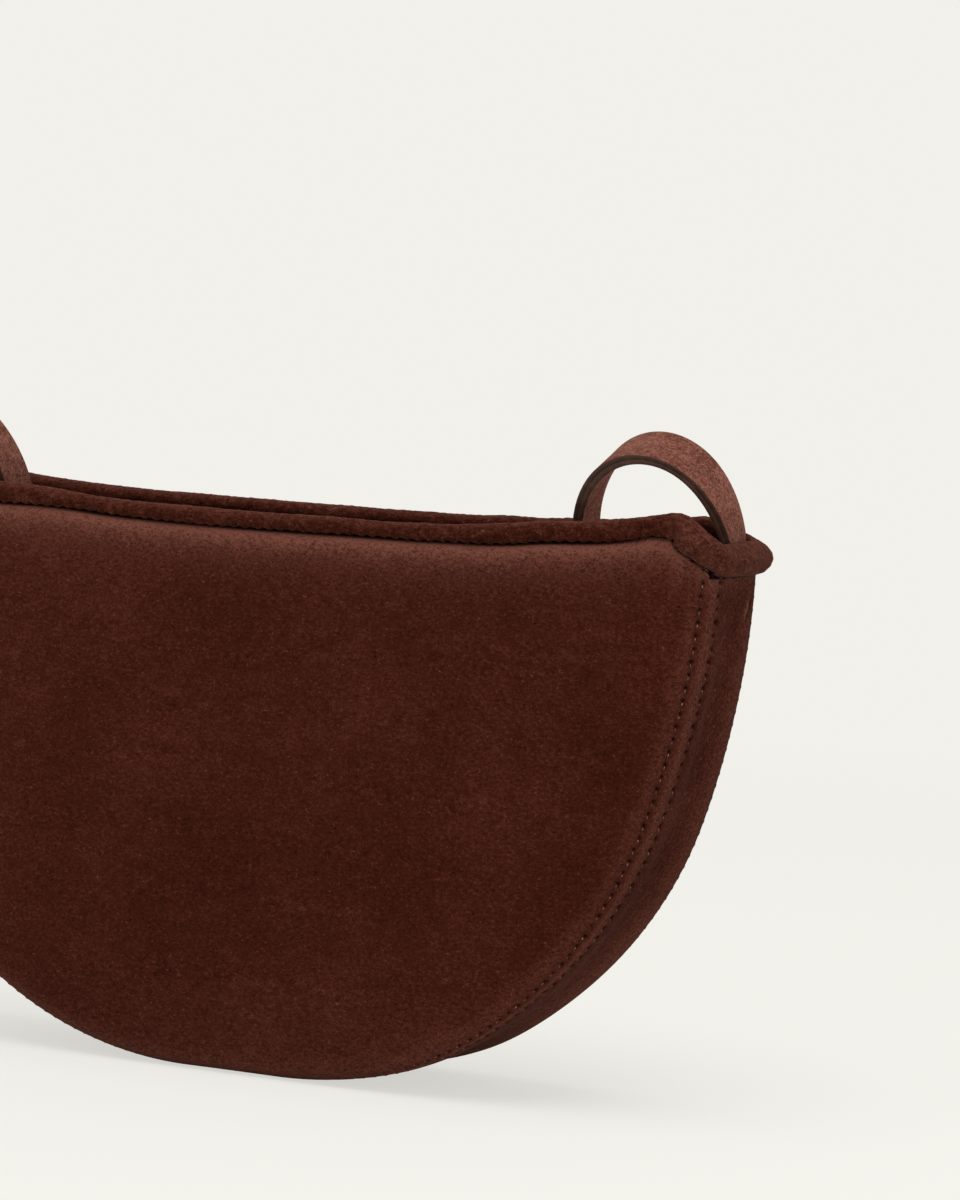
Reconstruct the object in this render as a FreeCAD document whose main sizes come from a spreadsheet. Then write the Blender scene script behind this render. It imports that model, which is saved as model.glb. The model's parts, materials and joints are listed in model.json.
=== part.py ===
import FreeCAD, Part
import math
import os
import re
import Sketcher

# Half moon shoulder bag in suede, its strap tucked into the open mouth.
# Millimetres. +X along the mouth, -Y the front, +Z up, origin under the middle of the bag.

doc = FreeCAD.newDocument("half_moon_bag")
sizes = doc.addObject("Spreadsheet::Sheet", "Sizes")

# Driving dimensions: name, value, what it is
driving = [
    ("bottom_flat", 36, "straight run of the outline that the bag stands on"),
    ("corner_radius", 118, "lower corners of the half moon"),
    ("side_angle", 14.5, "degrees from upright where corner and side arcs meet"),
    ("side_radius", 330, "gentle arc of the sides up to the mouth"),
    ("body_depth", 47, "front to back at the bottom"),
    ("mouth_depth", 34.5, "front to back at the mouth"),
    ("mouth_height", 157.5, "rim height in the middle of the mouth"),
    ("peak_rise", 7, "high points of the rim near the two ends, above its middle"),
    ("tip_drop", 10.5, "rim over the gusset at the two ends, below the high points"),
    ("tip_setback", 3.9, "foot of an end slope, in from the side of the bag"),
    ("slope_run", 10.5, "from the foot of an end slope to the high point of the rim"),
    ("rim_round", 5, "softening of the rim's high points and feet"),
    ("edge_radius", 7.5, "rounding from the panels to the gusset"),
    ("bevel_share", 0.74, "hidden inner bevels, as a share of the rounding outside them"),
    ("seam_past", 0.5, "panel seam behind the end of the rounding"),
    ("swell_margin", 1, "from the rounding and the binding to the foot of a panel's swell"),
    ("swell_run", 14, "width of the slope round the swell"),
    ("swell_rise", 1.8, "swell of each panel, padding bonded to its suede"),
    ("suede_thickness", 1.4, "outer suede"),
    ("interlining_thickness", 0.7, "stiffening layer"),
    ("lining_thickness", 0.6, "cotton lining"),
    ("glue_gap", 0.1, "film of glue between layers"),
    ("binding_cover", 6.5, "height of the bound rim"),
    ("binding_thickness", 1.2, "suede of the binding"),
    ("binding_gap", 0.3, "padding and glue between the binding and the walls"),
    ("strap_width", 12, "flat strap"),
    ("strap_thickness", 2.4, "two bonded plies"),
    ("strap_clear", 0.6, "strap to the binding inside the tip"),
    ("strap_axis_drop", 5, "bending line of the strap below the high points"),
    ("arch_span", 41, "between the two legs of a strap arch"),
    ("arch_leg", 1.8, "straight leg of a strap arch above its bending line"),
    ("arch_lean", 15, "degrees that the arches lean to the front"),
    ("pivot_gap", 0.4, "round an arch's feet"),
    ("tail_length", 36, "strap end sewn inside the gusset"),
    ("floor_gap", 0.3, "tucked strap above the lining"),
    ("patch_width", 20, "anchor patch behind a strap end"),
    ("patch_margin", 4, "anchor patch past the strap end"),
    ("pocket_width", 110, "inside slip pocket"),
    ("pocket_clear", 18, "open edge of the slip pocket below the snap"),
    ("pocket_height", 70, "slip pocket from its open edge down"),
    ("pocket_thickness", 0.8, "slip pocket"),
    ("snap_drop", 17, "magnetic snap below the middle of the rim"),
    ("snap_diameter", 15, "both halves of the snap"),
    ("socket_height", 2.6, "snap half with the hole"),
    ("stud_base", 1.4, "plate of the snap half with the stud"),
    ("stud_height", 3.2, "tip of the stud above the lining"),
    ("stud_diameter", 4.6, "stud"),
    ("stud_clear", 0.3, "hole round the stud, each side"),
    ("rivet_head", 13, "rivet heads hidden under the lining"),
    ("rivet_plate", 0.5, "thickness of the rivet heads"),
    ("rivet_stem", 3.2, "rivet stems through the lining"),
    ("hole_clear", 0.2, "round the rivets"),
]
for row, (alias, value, note) in enumerate(driving, start=1):
    sizes.set(f"A{row}", alias)
    sizes.set(f"B{row}", str(value))
    sizes.setAlias(f"B{row}", alias)
    sizes.set(f"C{row}", note)
doc.recompute()

size_names = {alias for alias, value, note in driving}


def sheet(text):
    """Turn a formula on size names into an expression on the sheet's cells."""
    return re.sub(r"[a-z_]+", lambda word: "Sizes." + word[0] if word[0] in size_names else word[0], text)


def number(text):
    return float(sizes.evalExpression(sheet(text)))


def bind(feature, prop, text):
    feature.setExpression(prop, sheet(text))


# Shared formulas

board_outer = "( suede_thickness + glue_gap )"
board_inner = f"( {board_outer} + interlining_thickness )"
lining_outer = f"( {board_inner} + glue_gap )"
wall = f"( {lining_outer} + lining_thickness )"
binding_outer = "( 0 - binding_gap - binding_thickness )"
binding_inner = f"( {wall} + binding_gap + binding_thickness )"
rim_drop = "( binding_thickness + glue_gap )"
strap_outer = f"( {binding_inner} + strap_clear )"
strap_inner = f"( {strap_outer} + strap_thickness )"

peak_height = "( mouth_height + peak_rise )"
tip_height = f"( {peak_height} - tip_drop )"
cap_height = f"( {peak_height} + corner_radius / 4 )"
reach = "( corner_radius + bottom_flat + side_radius / 10 )"
side_centre_x = "( bottom_flat / 2 - ( side_radius - corner_radius ) * cos( side_angle * 1deg ) )"
side_centre_z = "( corner_radius + ( side_radius - corner_radius ) * sin( side_angle * 1deg ) )"
wall_slope = "( ( body_depth - mouth_depth ) / 2 / mouth_height )"
wall_tilt = f"( atan( {wall_slope} ) / 1deg )"

strap_axis = f"( {peak_height} - strap_axis_drop )"
strap_top = f"( {strap_axis} - strap_width / 3 )"


def side_x(inset, height):
    """Half width of the outline, moved in by inset, at a height above the corner arcs."""
    rise = f"( {height} - {side_centre_z} )"
    return f"( {side_centre_x} + sqrt( ( side_radius - {inset} ) ^ 2 - {rise} ^ 2 ) )"


def half_depth(inset, height):
    return f"( body_depth / 2 - {wall_slope} * {height} - {inset} / cos( atan( {wall_slope} ) ) )"


seam_inset = "( edge_radius + seam_past )"
seam_y = f"( 0 - {half_depth(seam_inset, '0')} )"
tip_foot = f"( {side_x('0', tip_height)} - tip_setback )"
peak_x = f"( {tip_foot} - slope_run )"
outer_leg = f"( {side_x(strap_outer, strap_axis)} - strap_thickness / 2 )"
inner_leg = f"( {outer_leg} - arch_span )"


# Sketches: each corner is placed by two formulas, each arc also has a radius

def origin_plane(body, role):
    return next(f for f in body.Origin.OriginFeatures if f.Role == role)


def new_sketch(body, name, role):
    sketch = body.newObject("Sketcher::SketchObject", name)
    sketch.AttachmentSupport = (origin_plane(body, role), [""])
    sketch.MapMode = "FlatFace"
    return sketch


def arc_between(start, end, radius, side):
    """Minor arc from start to end, on the right of the way there when side is 1."""
    chord = end.sub(start)
    normal = FreeCAD.Vector(chord.y, -chord.x, 0).normalize()
    sagitta = radius - math.sqrt(max(radius ** 2 - (chord.Length / 2) ** 2, 0))
    middle = start.add(chord.multiply(0.5)).add(normal.multiply(side * sagitta))
    return Part.Arc(start, middle, end)


def add_loop(sketch, corners):
    """corners: (x, y) starts a line to the next corner, (x, y, radius, side) an arc."""
    points = [FreeCAD.Vector(number(c[0]), number(c[1]), 0) for c in corners]
    first = sketch.GeometryCount
    count = len(corners)
    for i, corner in enumerate(corners):
        start, end = points[i], points[(i + 1) % count]
        if len(corner) == 2:
            sketch.addGeometry(Part.LineSegment(start, end), False)
        else:
            sketch.addGeometry(arc_between(start, end, number(corner[2]), corner[3]), False)
    ends = [end_of_edge(sketch, first + i, points[(i + 1) % count]) for i in range(count)]
    for i, corner in enumerate(corners):
        geo, after = first + i, first + (i + 1) % count
        start_of_next = 3 - ends[(i + 1) % count]
        sketch.addConstraint(Sketcher.Constraint("Coincident", geo, ends[i], after, start_of_next))
        for prop, text in (("DistanceX", corner[0]), ("DistanceY", corner[1])):
            here = Sketcher.Constraint(prop, -1, 1, geo, 3 - ends[i], number(text))
            add_size(sketch, here, f"corner_{prop}_{geo}", text)
        if len(corner) == 4:
            add_size(sketch, Sketcher.Constraint("Radius", geo, number(corner[2])), f"bend_{geo}", corner[2])


def end_of_edge(sketch, geo, point):
    """1 or 2, the end of an edge that lies at the point; an arc may be stored backwards."""
    gaps = [sketch.getPoint(geo, pos).sub(point).Length for pos in (1, 2)]
    return 1 if gaps[0] < gaps[1] else 2


def add_size(sketch, constraint, name, text):
    index = sketch.addConstraint(constraint)
    sketch.renameConstraint(index, name)
    bind(sketch, f"Constraints.{name}", text)


def add_pad(body, name, sketch, length):
    pad = body.newObject("PartDesign::Pad", name)
    pad.Profile = sketch
    pad.SideType = "Symmetric"
    bind(pad, "Length", length)
    return pad


def add_pocket(body, name, sketch, length):
    pocket = body.newObject("PartDesign::Pocket", name)
    pocket.Profile = sketch
    pocket.SideType = "Symmetric"
    bind(pocket, "Length", length)
    doc.recompute()
    if pocket.Shape.Volume >= pocket.BaseFeature.Shape.Volume:
        raise RuntimeError(f"{name} cuts nothing")
    return pocket


def add_edges(body, kind, base, edges, size):
    """Round the edges with a Fillet of that radius, or bevel them with a Chamfer of that leg."""
    feature = body.newObject("PartDesign::" + kind, f"{body.Name}_{kind.lower()}")
    names = [f"Edge{i}" for i, e in enumerate(base.Shape.Edges, 1) if any(e.isSame(f) for f in edges)]
    feature.Base = (base, names)
    bind(feature, "Radius" if kind == "Fillet" else "Size", size)
    return feature


def cut(name, base, tool):
    feature = doc.addObject("Part::Cut", name)
    feature.Base, feature.Tool = base, tool
    return feature


def common(name, base, tool):
    feature = doc.addObject("Part::Common", name)
    feature.Base, feature.Tool = base, tool
    return feature


def fuse(name, base, tool):
    feature = doc.addObject("Part::Fuse", name)
    feature.Base, feature.Tool = base, tool
    return feature


# The half moon, moved in from the bag's outer face by an inset

def rounding(inset):
    return f"max( edge_radius - {inset} ; glue_gap )"


def bevel(inset):
    return f"( bevel_share * {rounding(inset)} )"


def half_moon(name, inset, length="2 * body_depth"):
    """The outline drawn out straight, half of its length to the front and half to the back."""
    body = doc.addObject("PartDesign::Body", name)
    corner, side = f"( corner_radius - {inset} )", f"( side_radius - {inset} )"
    join_x = f"( bottom_flat / 2 + {corner} * cos( side_angle * 1deg ) )"
    join_z = f"( corner_radius - {corner} * sin( side_angle * 1deg ) )"
    cap_x = side_x(inset, cap_height)
    outline = new_sketch(body, name + "_outline", "XZ_Plane")
    add_loop(outline, [
        ("0 - bottom_flat / 2", inset),
        ("bottom_flat / 2", inset, corner, 1),
        (join_x, join_z, side, 1),
        (cap_x, cap_height),
        (f"0 - {cap_x}", cap_height, side, 1),
        (f"0 - {join_x}", join_z, corner, 1),
    ])
    add_pad(body, name + "_pad", outline, length)
    doc.recompute()
    return body


def leaning_moon(name, inset, edges="Sharp"):
    """A half moon whose front and back lean together towards the mouth; edges: Sharp, Fillet or Chamfer."""
    body = half_moon(name, inset)
    last = lean_walls(body, name, inset)
    if edges != "Sharp":
        size = rounding(inset) if edges == "Fillet" else bevel(inset)
        add_edges(body, edges, last, panel_edges(last), size)
    return body


def panel_form(name, outline_inset, face_inset):
    """A straight half moon, turned about the foot of the front seam to lean with the wall."""
    return leaning(half_moon(name, outline_inset, f"body_depth - 2 * {face_inset}"))


def leaning(body):
    body.Placement = FreeCAD.Placement(FreeCAD.Vector(), FreeCAD.Rotation(FreeCAD.Vector(-1, 0, 0), 1))
    bind(body, "Placement.Rotation.Angle", f"{wall_tilt} * 1deg")
    bind(body, "Placement.Base.y", f"{seam_y} * ( 1 - cos( {wall_tilt} * 1deg ) )")
    bind(body, "Placement.Base.z", f"{seam_y} * sin( {wall_tilt} * 1deg )")
    return body


def lean_walls(body, name, inset):
    """Trim front and back so that they lean together towards the mouth."""
    sides = new_sketch(body, name + "_sides", "YZ_Plane")
    low, high, far = "( 0 - edge_radius )", f"( {cap_height} + edge_radius )", "( 2 * body_depth )"
    foot, top = half_depth(inset, low), half_depth(inset, high)
    add_loop(sides, [(foot, low), (far, low), (far, high), (top, high)])
    add_loop(sides, [(f"0 - {foot}", low), (f"0 - {top}", high), (f"0 - {far}", high), (f"0 - {far}", low)])
    return add_pocket(body, name + "_lean", sides, f"4 * {reach}")


def panel_edges(feature):
    """The edges round the front and back faces, without the top one."""
    top = feature.Shape.BoundBox.ZMax
    return [e for f in panel_faces(feature) for e in f.Edges if e.CenterOfMass.z < top - 1]


def panel_faces(feature):
    return [f for f in feature.Shape.Faces if abs(f.normalAt(0, 0).y) > 0.9]


# Padding swells the flat of each panel

def panel_swell():
    """A smaller half moon that stands out from the panel's face, its edge bevelled down to the face."""
    body = doc.addObject("PartDesign::Body", "panel_swell")
    low = "( edge_radius + swell_margin )"
    high = "( mouth_height - binding_cover - swell_margin )"
    bend = f"( corner_radius - {low} )"
    end = f"( bottom_flat / 2 + sqrt( {bend} ^ 2 - ( {high} - corner_radius ) ^ 2 ) )"
    outline = new_sketch(body, "panel_swell_outline", "XZ_Plane")
    add_loop(outline, [
        ("0 - bottom_flat / 2", low),
        ("bottom_flat / 2", low, bend, 1),
        (end, high),
        (f"0 - {end}", high, bend, 1),
    ])
    pad = add_pad(body, "panel_swell_pad", outline, "body_depth + 2 * swell_rise")
    doc.recompute()
    slope = add_edges(body, "Chamfer", pad, [e for f in panel_faces(pad) for e in f.Edges], "swell_rise")
    slope.ChamferType = "Two distances"
    bind(slope, "Size2", "swell_run")
    return leaning(body)


# Everything under the rim, lowered by a drop

def under_rim(name, drop):
    body = doc.addObject("PartDesign::Body", name)
    sag = f"( ( {peak_x} ^ 2 + peak_rise ^ 2 ) / 2 / peak_rise )"
    low, tip, peak = "( 0 - corner_radius )", f"( {tip_height} - {drop} )", f"( {peak_height} - {drop} )"
    profile = new_sketch(body, name + "_profile", "XZ_Plane")
    add_loop(profile, [
        (f"0 - {reach}", low),
        (reach, low),
        (reach, tip),
        (tip_foot, tip),
        (peak_x, peak, sag, -1),
        (f"0 - {peak_x}", peak),
        (f"0 - {tip_foot}", tip),
        (f"0 - {reach}", tip),
    ])
    pad = add_pad(body, name + "_pad", profile, "3 * body_depth")
    doc.recompute()
    turns = [number(tip_foot), number(peak_x)]
    edges = [e for e in pad.Shape.Edges if any(abs(abs(e.CenterOfMass.x) - x) < 0.01 for x in turns)
             and e.BoundBox.YLength > number("body_depth")]
    add_edges(body, "Fillet", pad, edges, "rim_round")
    return body


def block(name, x_low, y_low, z_low, x_size, y_size, z_size):
    box = doc.addObject("Part::Box", name)
    for prop, text in (("Length", x_size), ("Width", y_size), ("Height", z_size),
                       ("Placement.Base.x", x_low), ("Placement.Base.y", y_low), ("Placement.Base.z", z_low)):
        bind(box, prop, text)
    return box


# Walls: suede, interlining and lining, each a front, a back and a gusset

def seam_core():
    """The space between the two panel seams."""
    body = doc.addObject("PartDesign::Body", "seam_core")
    section = new_sketch(body, "seam_core_section", "YZ_Plane")
    low, high = "( 0 - corner_radius )", cap_height
    foot, top = half_depth(seam_inset, low), half_depth(seam_inset, high)
    add_loop(section, [(f"0 - {foot}", low), (foot, low), (top, high), (f"0 - {top}", high)])
    add_pad(body, "seam_core_pad", section, f"4 * {reach}")
    return body


def front_layer(name, outer, inner):
    """One layer of the front, between two panel forms, as far as the seam and the rim."""
    shell = cut(name + "_shell", outer, inner)
    panel = common(name + "_half", cut(name + "_panels", shell, core), front_half)
    return common(name, panel, wall_zone)


def wrapped_layer(name, outer, inner, outer_kind, outer_size, swell=None):
    """A layer that goes round the panel's edge to the seam; outer and inner are its insets."""
    outside, inside = panel_form(name + "_outside", outer, outer), panel_form(name + "_inside", inner, inner)
    add_edges(outside, outer_kind, outside.Tip, panel_edges(outside.Tip), outer_size)
    add_edges(inside, "Chamfer", inside.Tip, panel_edges(inside.Tip), bevel(inner))
    if swell:
        outside = fuse(name + "_padded", outside, swell)
    return front_layer(name, outside, inside)


def flat_layer(name, outer, inner):
    """A sheet cut clear of the rounding, on the flat of the panel only."""
    return front_layer(name, panel_form(name + "_outside", "edge_radius", outer),
                       panel_form(name + "_inside", "edge_radius / 2", inner))


def back_layer(name, front):
    mirrored = doc.addObject("Part::Mirroring", name)
    mirrored.Source = front
    mirrored.Normal = FreeCAD.Vector(0, 1, 0)
    return mirrored


def gusset_layer(name, outer, inner):
    ring = cut(name + "_ring", half_moon(name + "_outside", outer), half_moon(name + "_inside", inner))
    return common(name, common(name + "_strip", ring, core), wall_zone)


wall_zone = under_rim("wall_zone", rim_drop)
core = seam_core()
front_half = block("front_half", f"0 - {reach}", "0 - 2 * body_depth", "0 - corner_radius",
                   f"2 * {reach}", "2 * body_depth", f"4 * {reach}")

front_panel = wrapped_layer("front_panel", "0", "suede_thickness", "Fillet", rounding("0"), panel_swell())
suede = [front_panel, back_layer("back_panel", front_panel), gusset_layer("gusset", "0", "suede_thickness")]
board = flat_layer("board_sheet", board_outer, board_inner)
lining = wrapped_layer("lining_sheet", lining_outer, wall, "Chamfer", bevel(lining_outer))


# Binding folded over the rim

def mouth_binding():
    band = cut("binding_band", under_rim("rim_zone", "0"), under_rim("binding_foot", "binding_cover"))
    ring = cut("binding_ring", leaning_moon("binding_outside", binding_outer, "Fillet"),
               leaning_moon("binding_inside", binding_inner, "Chamfer"))
    slot_sides = cut("binding_slot", leaning_moon("slot_outside", "( 0 - binding_gap )", "Fillet"),
                     leaning_moon("slot_inside", f"( {wall} + binding_gap )", "Chamfer"))
    slot = common("binding_channel", slot_sides, under_rim("slot_zone", "binding_thickness"))
    return cut("mouth_binding", common("binding_block", ring, band), slot)


# Magnetic snap inside the middle of the mouth, riveted through the lining

snap_height = "( mouth_height - snap_drop )"
snap_seat = half_depth(wall, snap_height)


def place_on_wall(feature, side):
    """Stand a piece, built upwards from z = 0, on the lining: side -1 is the front wall."""
    feature.Placement = FreeCAD.Placement(FreeCAD.Vector(), FreeCAD.Rotation(FreeCAD.Vector(side, 0, 0), 90))
    bind(feature, "Placement.Rotation.Angle", f"( 90 + {wall_tilt} ) * 1deg")
    bind(feature, "Placement.Base.y", f"{side} * {snap_seat}")
    bind(feature, "Placement.Base.z", snap_height)


def turned(name, profile):
    """A round piece: the profile, given as (radius, height), turned about its own axis."""
    body = doc.addObject("PartDesign::Body", name)
    sketch = new_sketch(body, name + "_profile", "XZ_Plane")
    add_loop(sketch, profile)
    turn = body.newObject("PartDesign::Revolution", name + "_turn")
    turn.Profile = sketch
    turn.ReferenceAxis = (sketch, ["V_Axis"])
    turn.Angle = 360
    return body


def snap_pieces():
    rim, snap_bevel = "snap_diameter / 2", "glue_gap * 5"
    hole = "( stud_diameter / 2 + stud_clear )"
    hole_floor = "( socket_height - stud_height + stud_base )"
    socket = turned("snap_socket", [
        ("0", "glue_gap"), (rim, "glue_gap"), (rim, f"socket_height - {snap_bevel}"),
        (f"{rim} - {snap_bevel}", "socket_height"), (hole, "socket_height"), (hole, hole_floor),
        ("0", hole_floor)])
    stud = turned("snap_stud", [
        ("0", "glue_gap"), (rim, "glue_gap"), (rim, "stud_base"), ("stud_diameter / 2", "stud_base"),
        ("stud_diameter / 2", f"stud_height - {snap_bevel}"),
        (f"stud_diameter / 2 - {snap_bevel}", "stud_height"),
        ("0", "stud_height")])
    head_low = "( 0 - lining_thickness - glue_gap - interlining_thickness )"
    head_high = f"( {head_low} + rivet_plate )"
    rivet = [("0", head_low), ("rivet_head / 2", head_low), ("rivet_head / 2", head_high),
             ("rivet_stem / 2", head_high), ("rivet_stem / 2", "glue_gap"), ("0", "glue_gap")]
    pieces = []
    for body, side in ((socket, 1), (stud, -1)):
        rivet_body = turned(body.Name + "_rivet", rivet)
        for piece in (body, rivet_body):
            place_on_wall(piece, side)
        pieces += [body, rivet_body]
    return pieces


def pierced(name, sheet_feature, side, diameter):
    """Cut the hole for a snap rivet through one layer of a wall."""
    drill = doc.addObject("Part::Cylinder", name + "_drill")
    bind(drill, "Radius", f"{diameter} / 2 + hole_clear")
    bind(drill, "Height", f"2 * {wall}")
    drill.Placement = FreeCAD.Placement(FreeCAD.Vector(), FreeCAD.Rotation(FreeCAD.Vector(-side, 0, 0), 90))
    bind(drill, "Placement.Rotation.Angle", f"( 90 - {wall_tilt} ) * 1deg")
    bind(drill, "Placement.Base.y", f"{side} * ( {snap_seat} - {wall} / 2 )")
    bind(drill, "Placement.Base.z", f"{snap_height} - {wall_slope} * {wall} / 2")
    return cut(name, sheet_feature, drill)


# Slip pocket sewn flat on the back lining

def slip_pocket():
    outside = leaning_moon("pocket_outside", f"( {wall} + glue_gap )")
    inside = leaning_moon("pocket_inside", f"( {wall} + glue_gap + pocket_thickness )")
    open_edge = f"( {snap_height} - snap_diameter / 2 - pocket_clear )"
    area = block("pocket_area", "0 - pocket_width / 2", "0", f"{open_edge} - pocket_height",
                 "pocket_width", "body_depth", "pocket_height")
    return common("slip_pocket", cut("pocket_sheet", outside, inside), area)


# Strap: sewn tails, two arches above the rim, and the run tucked inside

def pivot_clearance():
    rod = doc.addObject("Part::Cylinder", "pivot_clearance")
    bind(rod, "Radius", "strap_width / 2 + pivot_gap")
    bind(rod, "Height", f"2 * {reach}")
    rod.Placement.Rotation = FreeCAD.Rotation(FreeCAD.Vector(0, 1, 0), 90)
    bind(rod, "Placement.Base.x", f"0 - {reach}")
    bind(rod, "Placement.Base.z", strap_axis)
    return rod


def strap_arch(name, side):
    """One arch of the strap; its feet end in half discs about the bending line."""
    body = doc.addObject("PartDesign::Body", name)
    middle = f"( {side} * ( {outer_leg} - arch_span / 2 ) )"
    outer, inner = "( arch_span / 2 + strap_thickness / 2 )", "( arch_span / 2 - strap_thickness / 2 )"
    spring, foot = f"( {strap_axis} + arch_leg )", f"( {strap_axis} - strap_width / 2 )"
    profile = new_sketch(body, name + "_profile", "XZ_Plane")
    add_loop(profile, [
        (f"{middle} + {outer}", foot),
        (f"{middle} + {outer}", spring, outer, 1),
        (middle, f"{spring} + {outer}", outer, 1),
        (f"{middle} - {outer}", spring),
        (f"{middle} - {outer}", foot),
        (f"{middle} - {inner}", foot),
        (f"{middle} - {inner}", spring, inner, -1),
        (middle, f"{spring} + {inner}", inner, -1),
        (f"{middle} + {inner}", spring),
        (f"{middle} + {inner}", foot),
    ])
    add_pad(body, name + "_pad", profile, "strap_width")
    feet = new_sketch(body, name + "_feet", "YZ_Plane")
    edge, low = "( strap_width / 2 )", f"( {strap_axis} - strap_width )"
    add_loop(feet, [
        ("0 - strap_width", low),
        ("strap_width", low),
        ("strap_width", strap_axis),
        (edge, strap_axis, edge, -1),
        ("0", foot, edge, -1),
        (f"0 - {edge}", strap_axis),
        ("0 - strap_width", strap_axis),
    ])
    add_pocket(body, name + "_feet_round", feet, f"4 * {reach}")
    body.Placement = FreeCAD.Placement(FreeCAD.Vector(), FreeCAD.Rotation(FreeCAD.Vector(1, 0, 0), 1))
    bind(body, "Placement.Rotation.Angle", "arch_lean * 1deg")
    bind(body, "Placement.Base.y", f"{strap_axis} * sin( arch_lean * 1deg )")
    bind(body, "Placement.Base.z", f"{strap_axis} * ( 1 - cos( arch_lean * 1deg ) )")
    return body


def strap_tucked_run(rod):
    """From one arch down into the bag, along its bottom and up to the other arch."""
    body = doc.addObject("PartDesign::Body", "tucked_ribbon")
    half = "( strap_thickness / 2 )"
    bottom = f"( {wall} + floor_gap + {half} )"
    bend = f"( {inner_leg} - bottom_flat / 2 )"
    turn = f"( {bottom} + {bend} )"
    flat = "( bottom_flat / 2 )"
    path = new_sketch(body, "tucked_ribbon_profile", "XZ_Plane")
    out_leg, in_leg = f"( {inner_leg} + {half} )", f"( {inner_leg} - {half} )"
    out_bend, in_bend = f"( {bend} + {half} )", f"( {bend} - {half} )"
    add_loop(path, [
        (f"0 - {out_leg}", turn, out_bend, 1),
        (f"0 - {flat}", f"{bottom} - {half}"),
        (flat, f"{bottom} - {half}", out_bend, 1),
        (out_leg, turn),
        (out_leg, strap_top),
        (in_leg, strap_top),
        (in_leg, turn, in_bend, -1),
        (flat, f"{bottom} + {half}"),
        (f"0 - {flat}", f"{bottom} + {half}", in_bend, -1),
        (f"0 - {in_leg}", turn),
        (f"0 - {in_leg}", strap_top),
        (f"0 - {out_leg}", strap_top),
    ])
    add_pad(body, "tucked_ribbon_pad", path, "strap_width")
    return cut("strap_tucked_run", body, rod)


def strap_ends(rod):
    """A tail inside each end of the mouth, and the patch that it is sewn to."""
    tail_layer = cut("tail_layer", half_moon("tail_outside", strap_outer),
                     half_moon("tail_inside", strap_inner))
    patch_layer = cut("patch_layer", half_moon("patch_outside", f"( {wall} + glue_gap )"),
                      half_moon("patch_inside", f"( {strap_outer} - glue_gap )"))
    tail_low = f"( {strap_top} - tail_length )"
    patch_low = f"( {tail_low} - patch_margin )"
    patch_high = f"( {tip_height} - binding_cover - glue_gap * 5 )"
    pieces = []
    for name, x_low in (("right", "corner_radius"), ("left", f"0 - {reach}")):
        across = f"{reach} - corner_radius"
        tail_area = block(name + "_tail_area", x_low, "0 - strap_width / 2", tail_low,
                          across, "strap_width", "tail_length")
        patch_area = block(name + "_patch_area", x_low, "0 - patch_width / 2", patch_low,
                           across, "patch_width", f"{patch_high} - {patch_low}")
        tail = cut(name + "_strap_tail", common(name + "_tail_strip", tail_layer, tail_area), rod)
        pieces += [tail, common(name + "_anchor_patch", patch_layer, patch_area)]
    return pieces


nodes = suede + [
    pierced("front_interlining", board, -1, "rivet_head"),
    pierced("back_interlining", back_layer("back_board_sheet", board), 1, "rivet_head"),
    gusset_layer("gusset_interlining", board_outer, board_inner),
    pierced("front_lining", lining, -1, "rivet_stem"),
    pierced("back_lining", back_layer("back_lining_sheet", lining), 1, "rivet_stem"),
    gusset_layer("gusset_lining", lining_outer, wall),
    mouth_binding(),
    slip_pocket(),
]
nodes += snap_pieces()
rod = pivot_clearance()
nodes += [strap_arch("right_strap_arch", 1), strap_arch("left_strap_arch", -1), strap_tucked_run(rod)]
nodes += strap_ends(rod)
doc.recompute()

# Nothing is written unless every feature is sound
for feature in doc.Objects:
    if "Invalid" in feature.State or "Error" in feature.State:
        raise RuntimeError(f"{feature.Name} failed: {feature.State}")
for node in nodes:
    node.Label = node.Name
    shape = node.Shape
    if shape.isNull() or not shape.isValid() or len(shape.Solids) != 1:
        raise RuntimeError(f"{node.Label}: {len(shape.Solids)} solids, valid {shape.isValid()}")

os.makedirs("parts", exist_ok=True)
for node in nodes:
    node.Shape.exportStep(os.path.join("parts", node.Label + ".step"))
    box = node.Shape.optimalBoundingBox(False)
    print(f"{node.Label}: {node.Shape.Volume / 1000:.2f} cm3, x {box.XMin:.1f}..{box.XMax:.1f}, "
          f"y {box.YMin:.1f}..{box.YMax:.1f}, z {box.ZMin:.1f}..{box.ZMax:.1f}")
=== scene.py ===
import json
import math

import bpy
import numpy as np
from mathutils import Matrix, Vector, noise


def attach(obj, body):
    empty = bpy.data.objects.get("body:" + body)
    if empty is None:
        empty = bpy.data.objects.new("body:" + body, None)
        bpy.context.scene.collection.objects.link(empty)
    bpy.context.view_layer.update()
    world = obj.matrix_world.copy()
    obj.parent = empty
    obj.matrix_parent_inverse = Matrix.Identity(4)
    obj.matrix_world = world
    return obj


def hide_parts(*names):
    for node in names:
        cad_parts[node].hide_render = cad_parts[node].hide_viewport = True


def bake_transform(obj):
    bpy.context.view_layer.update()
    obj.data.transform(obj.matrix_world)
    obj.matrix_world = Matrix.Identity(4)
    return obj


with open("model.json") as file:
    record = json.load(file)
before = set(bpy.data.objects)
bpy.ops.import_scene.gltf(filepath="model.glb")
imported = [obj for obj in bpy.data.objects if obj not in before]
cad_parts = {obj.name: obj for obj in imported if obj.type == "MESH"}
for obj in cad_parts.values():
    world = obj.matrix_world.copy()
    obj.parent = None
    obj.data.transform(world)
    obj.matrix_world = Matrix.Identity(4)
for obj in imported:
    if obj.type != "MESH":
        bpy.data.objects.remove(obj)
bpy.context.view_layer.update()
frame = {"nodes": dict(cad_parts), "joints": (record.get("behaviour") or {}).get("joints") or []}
mm = 0.001
tiny = 0.001 * mm   # keeps divisions away from zero
degree = math.pi / 180


# Shader tools

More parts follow.
